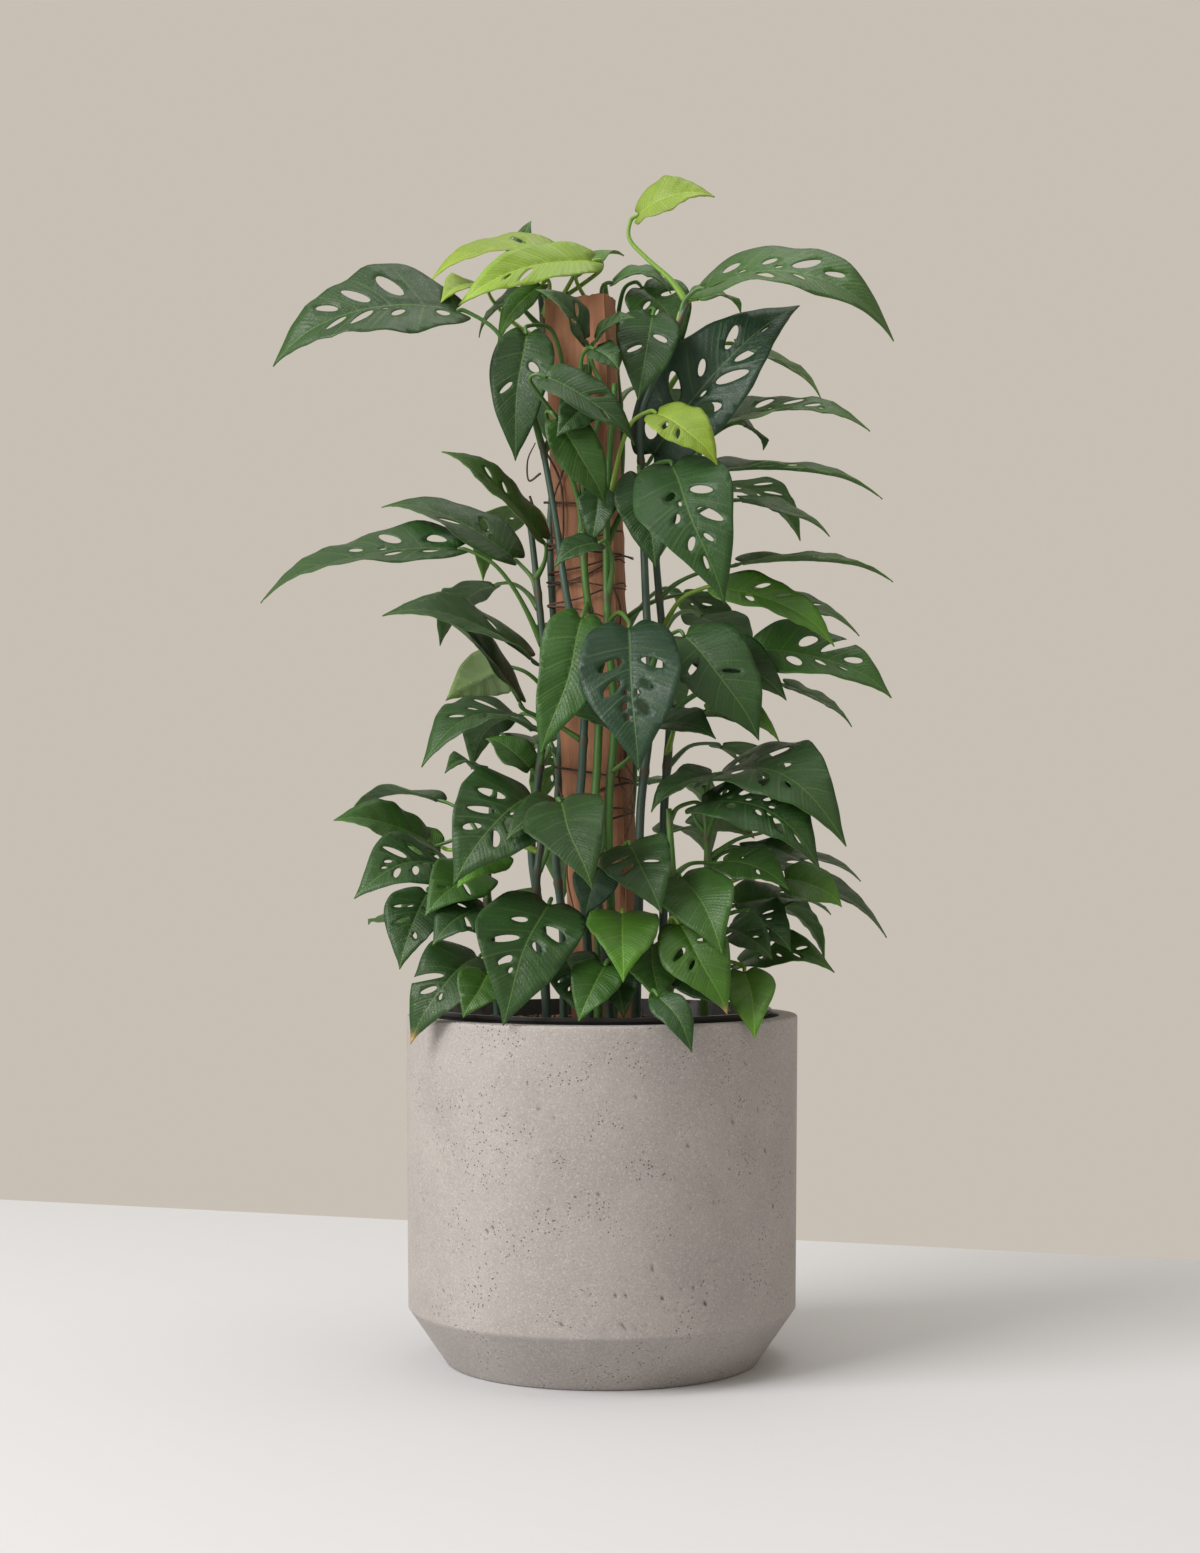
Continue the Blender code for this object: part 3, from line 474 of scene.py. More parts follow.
def stone_finish():
    finish, tree, where = new_finish("cast stone", (0.47, 0.405, 0.375))
    cloud = ramp(tree, grain(tree, where, 14, 4), 0.3, 0.7)
    base = mix(tree, cloud, *STONE_CLOUDS)
    sand = cells(tree, where, SAND_SCALE).outputs["Color"]
    sandy = node(tree, "SeparateColor", {"Color": sand}).outputs[0]
    base = mix(tree, ramp(tree, sandy, 0.72, 1.0, 0.0, 0.5), base, STONE_LIGHT_GRAIN)
    base = mix(tree, ramp(tree, sandy, 0.0, 0.14, 0.5, 0.0), base, STONE_DARK_GRAIN)
    pin = cells(tree, where, PINHOLE_SCALE).outputs["Distance"]
    patchy = ramp(tree, grain(tree, where, 26, 2), 0.50, 0.62)
    pinhole = maths(tree, "MULTIPLY", ramp(tree, pin, 0.12, 0.24, 1.0, 0.0), patchy)
    # Painted shade: pinholes and the pits of the mesh are darkened towards near black, as shade inside them
    hole = maths(tree, "MAXIMUM", pinhole, ramp(tree, attribute(tree, "pit"), 0.1, 0.7))
    base = mix(tree, maths(tree, "MULTIPLY", hole, 0.85), base, STONE_HOLE_SHADE)
    rough = ramp(tree, grain(tree, where, 300, 2), 0.3, 0.7, 0.50, 0.66)
    fine = bump(tree, grain(tree, where, 900, 3), 0.25, 0.5)
    return end_finish(finish, base, rough, bump(tree, hole, -0.8, 0.8, fine))


shade(planter, 40)
dress(planter, stone_finish(), "concrete", "planter")

# %% [markdown]
# ## The nursery pot
#
# Inside the planter stands the thin black pot that the plant was grown in. Only its rolled rim shows, as a
# dark line. A cone is the natural start: its top and bottom radii are the pot's own taper. The top face is
# inset by the wall and pushed down to make the hollow, and the lip is a face ring pulled out.

# %% Nursery pot
GAP = 0.35
POT_FOOT_RADIUS = 108
POT_RIM_RADIUS = 137
POT_TOP = 288
POT_WALL = 1.8
POT_LIP = 3
FINE_POT_SIDES = 160


def pot_radius(height):
    """The nursery pot's outer radius at a height."""
    share = (height - PLANTER_FLOOR) / (POT_TOP - PLANTER_FLOOR)
    return POT_FOOT_RADIUS + (POT_RIM_RADIUS - POT_FOOT_RADIUS) * share


def build_pot():
    deselect_all()
    foot = PLANTER_FLOOR + GAP
    deep = (POT_TOP - foot) * MM
    bpy.ops.mesh.primitive_cone_add(vertices=FINE_POT_SIDES, radius1=pot_radius(foot) * MM,
                                    radius2=pot_radius(POT_TOP) * MM, depth=deep, end_fill_type="NGON",
                                    location=(0, 0, foot * MM + deep / 2))
    pot = name_it("nursery_pot")
    settle(pot)
    edit(pot)
    cut_rows(pot, [POT_TOP - POT_LIP], lambda f: abs(f.normal.z) < 0.5)
    pick(pot, lambda f: abs(f.normal.z) < 0.5 and f.calc_center_median().z > (POT_TOP - POT_LIP) * MM)
    bpy.ops.mesh.extrude_region_shrink_fatten(
        TRANSFORM_OT_shrink_fatten={"value": POT_WALL * MM, "use_even_offset": True})
    pick(pot, lambda f: f.normal.z > 0.9 and len(f.verts) > 4)
    bpy.ops.mesh.inset(thickness=POT_WALL * MM)
    down = (foot + POT_WALL - POT_TOP) * MM
    bpy.ops.mesh.extrude_region_move(TRANSFORM_OT_translate={"value": (0, 0, down)})
    inner = pot_radius(foot + POT_WALL) / POT_RIM_RADIUS
    bpy.ops.transform.resize(value=(inner, inner, 1), center_override=(0, 0, 0))
    bpy.ops.mesh.select_mode(type="EDGE")
    pick(pot, lambda e: min(v.co.z for v in e.verts) > (POT_TOP - 0.1) * MM and len(e.link_faces) == 2
         and e.calc_face_angle() > 1, "edges")
    bpy.ops.mesh.bevel(offset=0.5 * MM, segments=3, affect="EDGES")
    end_edit()
    shade(pot, 40)
    return pot


pot = build_pot()


# %% Black plastic finish
def plastic_finish():
    """Thin black plastic, dull where dust lies on it."""
    finish, tree, where = new_finish("black plastic", (0.02, 0.02, 0.02))
    dusty = ramp(tree, grain(tree, where, 120, 4), 0.45, 0.75, 0.0, 0.5)
    base = mix(tree, dusty, (0.013, 0.013, 0.014), (0.034, 0.030, 0.026))
    rough = ramp(tree, dusty, 0.0, 0.5, 0.38, 0.65)
    return end_finish(finish, base, rough, bump(tree, grain(tree, where, 700, 2), 0.15, 0.4))


dress(pot, plastic_finish(), "black_plastic", "grow_pot")

# %% [markdown]
# ## The board
#
# The support is a rough sawn, reddish brown board that leans a little to the left as it rises. It is a cube
# stretched to the board's section, cut into many short lengths, and then roughened: long narrow furrows
# follow the grain, the edges are chipped, and the top end is broken a little.

# %% Board sizes
BOARD_WIDTH = 55
BOARD_THICKNESS = 30
BOARD_TURN = -20
BOARD_FOOT = (11.7, 8, 70)
BOARD_TOP = (-18.5, 8, 872)
BOARD_EDGE = 1.5
# Cuts along the board, across it and through it
BOARD_CUTS = ((2, 210), (0, 19), (1, 10))
FURROW_DEPTH = 0.7
CRACK_DEPTH = 1.6
CRACK_FROM = 0.42
SAW_DEPTH = 0.18
EDGE_WEAR = (0.8, 1.4)
EDGE_SPAN = 3
END_WEAR = (1.2, 2.4)


# %% The board's own directions
def unit(vector):
    return Vector(vector).normalized()


def board_frame():
    """The board's long axis, the way across its wide face and the way through it."""
    axis = unit(Vector(BOARD_TOP) - Vector(BOARD_FOOT))
    wide = Matrix.Rotation(math.radians(BOARD_TURN), 3, "Z") @ Vector((1, 0, 0))
    deep = unit(axis.cross(wide))
    return axis, deep.cross(axis), deep


# %% Board body
def build_board():
    deselect_all()
    bpy.ops.mesh.primitive_cube_add(size=1)
    board = name_it("sawn_board")
    length = (Vector(BOARD_TOP) - Vector(BOARD_FOOT)).length
    board.scale = (BOARD_WIDTH, BOARD_THICKNESS, length)
    board.location = (0, 0, length / 2)
    settle(board)
    edit(board, "EDGE")
    for axis, cuts in BOARD_CUTS:
        pick(board, lambda e: abs(unit(e.verts[1].co - e.verts[0].co)[axis]) > 0.9, "edges")
        bpy.ops.mesh.subdivide(number_cuts=cuts)
    end_edit()
    roughen_board(board, length)
    axis, wide, deep = board_frame()
    to_frame = Matrix((wide, deep, axis)).transposed() * MM
    board.data.transform(Matrix.Translation(Vector(BOARD_FOOT) * MM) @ to_frame.to_4x4())
    shade(board, 50)
    return board


def roughen_board(board, length):
    """Moves points in the board's own frame, in millimetres, inwards only."""
    half = Vector((BOARD_WIDTH / 2, BOARD_THICKNESS / 2, 0))
    for vertex in board.data.vertices:
        x, y, z = vertex.co
        room = (half.x - abs(x), half.y - abs(y))
        edge = min(room) < 0.01 and max(room) < EDGE_SPAN
        furrow = noise.fractal(Vector((x * 0.16, y * 0.16 + 7, z * 0.008)), 0.6, 2.1, 4)
        crack = noise.noise(Vector((x * 0.22 + 30, y * 0.22, z * 0.012)))
        depth = FURROW_DEPTH * abs(furrow)
        if crack > CRACK_FROM:
            depth += CRACK_DEPTH * min((crack - CRACK_FROM) * 6, 1)
        depth += SAW_DEPTH * (1 + math.sin(z * 1.9 + 3 * noise.noise(Vector((x * 0.05, 0, z * 0.02)))))
        if edge:
            depth += EDGE_WEAR[0] + EDGE_WEAR[1] * max(noise.noise(Vector((x, y, z * 0.05))), 0)
        if abs(half.x - abs(x)) < 0.01:
            vertex.co.x -= math.copysign(depth, x)
        if abs(half.y - abs(y)) < 0.01:
            vertex.co.y -= math.copysign(depth, y)
        if z > length - 0.01:
            vertex.co.z -= END_WEAR[0] + END_WEAR[1] * abs(noise.noise(Vector((x * 0.25, y * 0.25, 5))))


board = build_board()


# %% [markdown]
# ## The wood's finish
#
# Sawn wood shows dark and light bands, pale loose fibres, painted shade in furrows between them and a few
# damp stains.
# All but the stains are drawn out along the grain: the pattern is squeezed twenty times in height, so a
# round lump of noise becomes a long streak.

# %% Rough wood finish
WOOD_BANDS = ((0.27, 0.118, 0.060), (0.40, 0.185, 0.098))
WOOD_FIBRE = (0.50, 0.27, 0.16)
# Painted shade in the furrows
WOOD_FURROW_SHADE = (0.10, 0.045, 0.025)
WOOD_STAIN = (0.12, 0.055, 0.035)


def wood_finish():
    finish, tree, where = new_finish("rough wood", (0.36, 0.17, 0.09))
    long = stretched(tree, where, (1.0, 1.0, 0.05))
    fibre = grain(tree, long, 260, 6, 0.7)
    band = grain(tree, long, 60, 3)
    stain = grain(tree, stretched(tree, where, (1, 1, 0.5)), 22, 4)
    base = mix(tree, ramp(tree, band, 0.35, 0.65), *WOOD_BANDS)
    base = mix(tree, ramp(tree, fibre, 0.55, 0.72, 0.0, 0.5), base, WOOD_FIBRE)
    # Painted shade: where the fibre relief sinks, the furrows are darkened as shade in them
    base = mix(tree, ramp(tree, fibre, 0.28, 0.40, 0.7, 0.0), base, WOOD_FURROW_SHADE)
    base = mix(tree, ramp(tree, stain, 0.56, 0.7, 0.0, 0.55), base, WOOD_STAIN)
    low = bump(tree, fibre, 1.0, 0.7)
    return end_finish(finish, base, 0.82, bump(tree, grain(tree, where, 500, 3), 0.2, 0.5, low))


dress(board, wood_finish(), "rough_wood", "board")

# %% [markdown]
# ## The potting mix
#
# Between the stems lies an open mix of bark and fibre. The body is a cone cut to the pot's taper. Its top
# is inset ring by ring, so that it has points to make it uneven, and loose bark chips are scattered on it.
# A chip is one squashed, broken ball, modelled once and copied with its own mesh, turned and sized anew.

# %% Potting mix body
SOIL_TOP = 275
SOIL_SIDES = 120
SOIL_RINGS = 30


def soil_height(x, y):
    """The uneven top, in millimetres."""
    return SOIL_TOP - 2.5 + 2.2 * noise.fractal(Vector((x * 0.05, y * 0.05, 3)), 0.7, 2.0, 4)


def build_soil():
    deselect_all()
    low = PLANTER_FLOOR + 2 * GAP + POT_WALL
    inset = POT_WALL + GAP
    deep = (SOIL_TOP - low) * MM
    top_radius = pot_radius(SOIL_TOP) - inset
    bpy.ops.mesh.primitive_cone_add(vertices=SOIL_SIDES, radius1=(pot_radius(low) - inset) * MM,
                                    radius2=top_radius * MM, depth=deep, end_fill_type="NGON",
                                    location=(0, 0, low * MM + deep / 2))
    soil = name_it("potting_mix")
    settle(soil)
    edit(soil)
    pick(soil, lambda f: f.normal.z > 0.9)
    for _ in range(SOIL_RINGS):
        bpy.ops.mesh.inset(thickness=top_radius * MM / (SOIL_RINGS + 1))
    bpy.ops.mesh.poke()
    end_edit()
    for vertex in soil.data.vertices:
        if vertex.co.z > (SOIL_TOP - 1) * MM:
            vertex.co.z = soil_height(vertex.co.x / MM, vertex.co.y / MM) * MM
    shade(soil, 60)
    return soil


soil = build_soil()


# %% Potting mix finish
MIX_TONES = ((0.022, 0.015, 0.011), (0.085, 0.055, 0.038))
MIX_SCALE = 230
# Painted shade in the hollows between crumbs
MIX_HOLLOW_SHADE = (0.008, 0.006, 0.005)


def mix_finish(name, dark, light, scale):
    """Crumbs between a dark and a light tone, with painted shade that darkens the hollows nearly black."""
    finish, tree, where = new_finish(name, dark)
    crumbs = cells(tree, where, scale).outputs["Color"]
    crumb = node(tree, "SeparateColor", {"Color": crumbs}).outputs[0]
    fibre = grain(tree, where, scale * 2, 4)
    base = mix(tree, ramp(tree, crumb, 0.2, 0.9), dark, light)
    # Painted shade: the low parts of the fibre relief are darkened nearly black, as shade in the hollows
    base = mix(tree, ramp(tree, fibre, 0.3, 0.5, 0.7, 0.0), base, MIX_HOLLOW_SHADE)
    return end_finish(finish, base, 0.95, bump(tree, crumb, 1.5, 0.8, bump(tree, fibre, 0.8, 0.8)))


dress(soil, mix_finish("potting mix", *MIX_TONES, MIX_SCALE), "potting_mix", "soil")

# %% [markdown]
# ## Loose bark
#
# Chips of bark lie on the mix, some flat and some on edge. One broken ball is the master. It is copied to
# places drawn at random from the pot's round, and left out where the board stands.

# %% Many copies in one mesh
def join_copies(name, master, places):
    """One mesh of many copies of a master's points and faces, each with its own matrix."""
    points = np.array([v.co for v in master.data.vertices])
    faces = [list(f.vertices) for f in master.data.polygons]
    all_points, all_faces = [], []
    for place in places:
        turn = np.array(place)
        shift = len(all_points) * len(points)
        all_points.append(points @ turn[:3, :3].T + turn[:3, 3])
        all_faces += [[i + shift for i in face] for face in faces]
    mesh = bpy.data.meshes.new(name)
    mesh.from_pydata(np.concatenate(all_points).tolist(), [], all_faces)
    bpy.data.objects.remove(master)
    return add_object(name, mesh)


# %% Bark chips
CHIP_COUNT = 420
CHIP_SIZE = (3.0, 8.0)
CHIP_TILT = 0.6
CHIP_MARGIN = 9
BARK_TONES = ((0.045, 0.024, 0.014), (0.16, 0.085, 0.05))
BARK_SCALE = 140
# Half of the board's room in the mix, across and in depth
BOARD_ROOM = (36, 24)


def build_chips():
    """The chips as one mesh. A chip is wide and flat, and lies a little proud of the mix."""
    deselect_all()
    bpy.ops.mesh.primitive_ico_sphere_add(subdivisions=2, radius=1)
    chip = name_it("chip")
    for vertex in chip.data.vertices:
        vertex.co *= 0.75 + 0.5 * noise.noise(vertex.co * 1.3)
        vertex.co.z *= 0.45
    draw = random.Random(23)
    places = []
    while len(places) < CHIP_COUNT:
        radius = (POT_RIM_RADIUS - CHIP_MARGIN) * math.sqrt(draw.random())
        angle = draw.uniform(0, math.tau)
        x, y = radius * math.cos(angle), radius * math.sin(angle)
        if abs(x) < BOARD_ROOM[0] and abs(y - BOARD_FOOT[1]) < BOARD_ROOM[1]:
            continue
        size = draw.uniform(*CHIP_SIZE)
        stretch = Matrix.Diagonal((1.0, draw.uniform(0.4, 0.9), draw.uniform(0.5, 1.2), 1))
        turn = Matrix.Rotation(draw.uniform(0, math.tau), 4, "Z")
        turn = turn @ Matrix.Rotation(draw.uniform(-CHIP_TILT, CHIP_TILT), 4, "X")
        place = Vector((x, y, soil_height(x, y) + 0.15 * size)) * MM
        places.append(Matrix.Translation(place) @ turn @ stretch @ Matrix.Scale(size * MM, 4))
    return join_copies("bark_chips", chip, places)


chips = build_chips()
shade(chips, 30)
dress(chips, mix_finish("bark", *BARK_TONES, BARK_SCALE), "potting_mix")

# %% [markdown]
# ## Where the stems and leaves stand
#
# A plant has no drawing, but this one has a plan: each stem is a short list of points, and each leaf has
# the height where its stalk leaves the stem, the two ends of its blade, its width and how it faces. These
# are the same values as in the solids, so every fine leaf lies where its solid one does.

# %% Stems, as the points of their axes from just above the potting mix
STEM_FOOT = 235
STEM_RADIUS = 4
STEM_TIP_RADIUS = 2.6
STEM_SIDES = 5
SWAY = 4
SWAY_DEPTH = 2
SWAY_STEP = 75
SWAY_LENGTH = 38
STEMS = {
    "vine_left_front": ((-10, -40, 290), (-16, -38, 420), (-18, -36, 560), (-26, -36, 622), (-36, -32, 690),
                        (-52, -30, 748)),
    "vine_left_side": ((-46, 14, 290), (-54, 8, 420), (-50, 2, 560), (-52, 0, 660), (-60, -2, 700)),
    "vine_back_left": ((-32, 50, 290), (-36, 46, 480), (-40, 42, 680), (-46, 36, 800), (-48, 32, 885)),
    "vine_left_low": ((-86, 6, 290), (-92, 2, 380), (-88, -2, 462)),
    "vine_front_left": ((-44, -64, 290), (-50, -62, 380), (-43, -59, 442)),
    "vine_front": ((6, -84, 290), (0, -82, 350), (-6, -76, 415)),
    "vine_front_right": ((52, -62, 290), (58, -62, 370), (56, -56, 450)),
    "vine_right_low": ((84, -4, 290), (90, -8, 390), (84, -12, 470)),
    "vine_right": ((28, -30, 290), (34, -26, 450), (38, -20, 620), (32, -14, 720), (28, -13, 770),
                   (44, -15, 808), (72, -16, 862)),
    "vine_right_side": ((50, 14, 290), (54, 10, 450), (50, 10, 620), (44, 12, 740), (48, 14, 800)),
    "vine_back_right": ((28, 52, 290), (26, 46, 480), (16, 42, 700), (10, 38, 820), (6, 34, 890)),
    "vine_middle_right": ((9, -32, 290), (8, -30, 450), (5, -29, 600), (6, -28, 700), (7, -26, 795)),
    "vine_middle_left": ((-3, -56, 290), (-4, -42, 420), (-6, -30, 560), (-14, -28, 700), (-16, -26, 810)),
    "vine_back": ((2, 96, 290), (4, 92, 420), (0, 82, 560)),
}

# %% Leaves that the photograph shows
# front is the compass angle that a leaf's own front looks to, with +X at 0 and +Y at 90
FRONT = -90
Leaf = namedtuple("Leaf", "foot base tip width face arch style tone front", defaults=(FRONT,))
# A line is foot height, base, tip, width, face, arch, style and tone. A face of 0 looks to the front,
# 90 looks up and 150 looks up and back. The arch is the rise of the midrib in per cent of its length.
LEAF_TABLE = """
vine_left_front
742  -117 -40 851  -264 -60 810  96 48 14 H deep
738  -61 -22 834  -70 -42 731  52 20 10 h deep
505  -66 -45 537  -152 -80 616  56 66 7 e deep
560  -57 -30 571  -168 -60 606  74 60 8 h deep
vine_left_side
585  -118 -10 663  -283 0 629  78 60 8 H deep
628  -73 12 658  -182 30 709  60 60 8 h deep
640  -49 -24 670  -125 -40 742  50 66 5 h mid
485  -57 -20 515  -142 -84 488  78 60 22 h deep
430  -59 2 484  -96 27 512  36 60 8 e mid
vine_back_left
530  -81 35 569  -132 76 547  48 150 10 h pale
852  -34 16 911  -143 4 890  50 60 12 h young
862  -8 -4 900  -116 -30 860  48 54 8 h young
850  -76 42 895  -60 50 948  22 42 8 e mid
860  -50 -4 880  -86 -14 833  26 44 8 e fresh
828  -64 22 880  -105 38 848  30 56 10 e deep
840  -98 -12 882  -129 -45 860  34 44 10 e young
vine_left_low
455  -102 12 482  -127 -23 482  30 60 20 e deep
430  -144 13 425  -215 -29 445  60 50 6 e mid
395  -123 -22 403  -194 -84 383  71 52 14 H deep
420  -134 3 420  -166 39 423  32 35 8 e fresh
375  -100 -42 399  -138 -94 368  53 40 12 h mid
365  -142 -14 382  -162 -56 324  52 40 10 h deep
345  -162 3 356  -196 37 358  32 66 8 e mid
320  -99 -53 331  -150 -100 268  66 35 26 d deep
vine_front_left
425  -55 -63 460  -114 -132 394  88 32 16 H deep
400  -35 -66 454  -73 -92 427  38 45 10 e deep
415  -85 -72 417  -111 -118 390  44 22 8 e fresh
385  -93 -68 371  -132 -114 345  49 32 10 c deep
350  -42 -92 374  -75 -154 286  83 18 14 H deep
318  -89 -80 320  -107 -126 289  42 28 10 e mid
vine_front
405  -32 -80 454  -8 -136 391  65 16 10 e deep
375  22 -80 420  45 -138 371  59 18 12 h deep
330  16 -98 367  16 -160 320  58 8 12 e fresh
312  -28 -92 332  -16 -138 290  47 15 10 h deep
316  39 -82 342  45 -128 298  47 20 8 e mid
300  2 -111 327  -18 -147 287  40 28 8 e mid
300  12 -95 326  17 -129 289  36 12 6 e deep
vine_front_right
440  79 -58 454  171 -103 406  78 55 18 H deep
395  97 -32 407  147 -75 389  48 50 12 h mid
370  62 -80 395  92 -140 340  60 36 12 e mid
345  101 -42 354  133 -90 334  45 40 10 h deep
338  60 -113 359  96 -141 293  56 32 12 h fresh
306  61 -93 324  98 -130 295  42 34 8 e deep
298  43 -134 305  68 -170 265  28 30 14 e deep
306  112 -84 321  118 -124 273  42 30 12 e fresh
vine_right_low
450  96 -10 478  191 -74 426  93 46 22 H deep
425  89 -42 477  38 -68 450  44 48 12 h deep
430  80 -4 448  127 44 430  48 140 10 e pale
400  117 0 416  236 -12 352  48 68 5 h deep
410  132 32 419  219 45 396  42 69 5 e deep
380  147 -9 394  194 -39 373  42 56 12 e fresh
365  111 12 372  194 50 368  56 64 9 h mid
350  121 -12 367  150 -60 339  46 30 10 h deep
325  113 3 324  188 -26 322  56 58 14 h mid
vine_right
850  84 -26 872  234 -60 831  94 54 20 H mid
862  30 -9 936  90 -30 948  46 34 16 e young
735  42 4 742  159 -8 867  86 34 8 H blue
690  31 -34 720  43 -44 644  52 12 8 e deep
845  78 -7 868  117 32 868  38 58 14 e fresh
560  66 -50 588  125 -80 506  68 36 12 h deep
480  39 -38 514  89 -80 508  49 52 12 e deep
vine_right_side
790  113 30 838  186 42 800  40 66 6 e fresh
745  95 10 769  220 -2 768  66 66 9 H mid
725  118 11 768  137 42 754  28 35 8 e mid
700  87 0 728  230 -12 712  62 70 6 H mid
660  117 32 709  193 46 685  42 72 4 e mid
625  115 -8 652  238 -14 643  56 73 5 h mid
600  93 -32 629  188 -50 585  54 56 8 h fresh
565  126 -12 581  237 -22 546  76 52 8 C mid
545  79 -27 579  148 -45 540  56 52 10 h deep
530  152 22 554  210 28 523  38 68 4 e mid
495  83 -38 529  143 -48 507  42 56 14 h fresh
vine_back_right
610  107 48 634  220 62 605  46 70 5 h mid
855  -16 12 898  18 44 918  36 52 14 e fresh
845  10 4 884  57 -12 876  36 56 24 e mid
830  33 10 881  67 -32 832  54 32 10 h mid
820  41 -9 852  29 -44 780  52 14 8 h deep
vine_middle_right
690  44 -46 767  92 -74 724  48 42 12 h young
665  56 -50 724  95 -110 612  82 18 12 H deep
600  21 -87 591  28 -134 480  82 6 8 H blue
480  22 -58 505  -33 -72 526  40 55 10 e deep
620  -3 -54 662  -38 -70 643  32 50 12 e deep
765  -5 -36 828  25 -58 843  34 45 10 c deep
vine_middle_left
610  -16 -76 600  -48 -112 492  55 14 10 e mid
775  -14 -38 830  -50 -56 866  38 42 10 h deep
760  -6 -48 818  14 -66 799  26 30 10 e deep
730  -44 -46 791  28 -66 742  52 45 10 h deep
715  -10 -48 776  -36 -68 746  32 15 8 e deep
672  -36 -42 760  4 -60 694  42 42 8 e mid
655  -2 -50 707  -8 -64 663  32 40 8 e deep
365  -2 -64 403  -13 -96 366  36 12 8 e blue
"""


def read_leaves(table):
    """The leaves of each stem. A line with one word names the stem whose leaves follow."""
    leaves = {}
    for line in table.strip().split("\n"):
        words = line.split()
        if len(words) == 1:
            rows = leaves.setdefault(line, [])
            continue
        foot, x0, y0, z0, x1, y1, z1, width, face, arch = map(int, words[:-2])
        rows.append(Leaf(foot, (x0, y0, z0), (x1, y1, z1), width, face, arch, *words[-2:]))
    return leaves


LEAVES = read_leaves(LEAF_TABLE)


# %% Leaves round the back and sides, by a rule
FANS = {
    "vine_back_left": (340, 830, 5, 106, 22, (85, 125)),
    "vine_back_right": (360, 840, 5, 70, 24, (85, 125)),
    "vine_back": (320, 550, 5, 90, 50, (80, 115)),
    "vine_left_low": (330, 440, 2, 138, 20, (70, 90)),
    "vine_right_low": (320, 440, 2, 44, 20, (70, 90)),
    "vine_left_side": (420, 680, 2, 116, 12, (80, 105)),
    "vine_right_side": (430, 760, 3, 58, 18, (80, 110)),
}
FAN_SEED = 5
FAN_SPREAD = (0.3, 1.0)
FAN_REACH = (0.55, 0.85)
FAN_RISE = (18, 48)
FAN_DROP = (5, 40)
FAN_STYLES = "hehhe"
FAN_WIDTH = 0.58
FAN_FACE = 60
FAN_ARCH = 14
FAN_TONES = ("mid", "deep", "mid", "fresh", "deep")
print(sum(len(rows) for rows in LEAVES.values()), "leaves from the photograph and",
      sum(row[2] for row in FANS.values()), "by the rule")

# %% [markdown]
# ## The form of a blade
#
# A blade is a thin sheet over two numbers: s runs along the midrib from 0 at the stalk to 1 at the tip, and
# v runs across from -1 to 1. The sheet arches along its length, folds up a little to both sides of the
# midrib, and its margin waves. One formula gives the place of every point, coarse or fine.

# %% Blade formulas
PETIOLE_RADIUS = 2.2
PETIOLE_TIP_RADIUS = 1.4
LONG_PETIOLE = 60
LONG_STEPS = 4
SHORT_STEPS = 2
NECK = 8
NECK_DROP = 3
SHARPEST = 0.25
FOOT_RISE = 0.7
FOOT_PULL = 0.35
ARRIVE_LEAN = 0.6
ARRIVE_PULL = 0.3
ARRIVE_NECKS = 1.5
BOW_AT_NECK = 0.6
BLADE_THICKNESS = 1.0
HALF_OUTLINE = ((-0.05, 0.36), (0.08, 0.84), (0.34, 1.0), (0.62, 0.76), (0.84, 0.34))
SMALL_OUTLINE = ((-0.04, 0.48), (0.22, 1.0), (0.55, 0.84), (0.82, 0.36))
SMALL_BLADE = 45
MIDRIB_POINTS = (0.30, 0.62)
SMALL_MIDRIB_POINTS = (0.42,)
FOLD = 14
MARGIN_DROOP = 0.05
WAVE = 0.05
WAVES = 1.4
# The clear rule: how far a blade may swing, in millimetres and degrees, how a petiole may bow, and how
# much worse it is to cross another vine than its own
TIP_SWINGS = (0, -10, 10, -20, 20, -32, 32, -45, 45)
BASE_SWINGS = (0, -8, 8, -16, 16, -26, 26)
FACE_SWINGS = (0, -10, 10, -20, 20)
SWING_COSTS = (1, 1.2, 0.7)
BOW_SIZES = (6, 12, 20, 30, 42)
BOW_TURN = 45
GRAVE = 10
CLEARANCE = 1.5
PROBE_ROOM = 0.4

Shape = namedtuple("Shape", "points triangles")


# %% Where a point of a blade lies
def compass(degrees):
    turn = math.radians(degrees)
    return Vector((math.cos(turn), math.sin(turn), 0))


def blade_axes(leaf):
    """Unit vectors along the midrib, out of the upper side, and across to the left half."""
    along = unit(Vector(leaf.tip) - Vector(leaf.base))
    face = math.radians(leaf.face)
    normal = math.cos(face) * compass(leaf.front) + Vector((0, 0, math.sin(face)))
    normal = unit(normal - normal.dot(along) * along)
    return along, normal, normal.cross(along)


def blade_point(leaf, s, v):
    """A point of the blade's middle surface, s along the midrib and v across, -1 to 1."""
    along, normal, left = blade_axes(leaf)
    length = (Vector(leaf.tip) - Vector(leaf.base)).length
    across = 0.5 * leaf.width * v
    fold = math.radians(FOLD)
    rise = length * leaf.arch / 100 * 4 * s * (1 - s)
    phase = leaf.foot + leaf.width
    wave = WAVE * leaf.width * v * abs(v) * math.sin(math.tau * WAVES * s + phase)
    droop = MARGIN_DROOP * leaf.width * v * v
    return (
        Vector(leaf.base)
        + along * length * s
        + left * across * math.cos(fold)
        + normal * (rise + abs(across) * math.sin(fold) + wave - droop)
    )


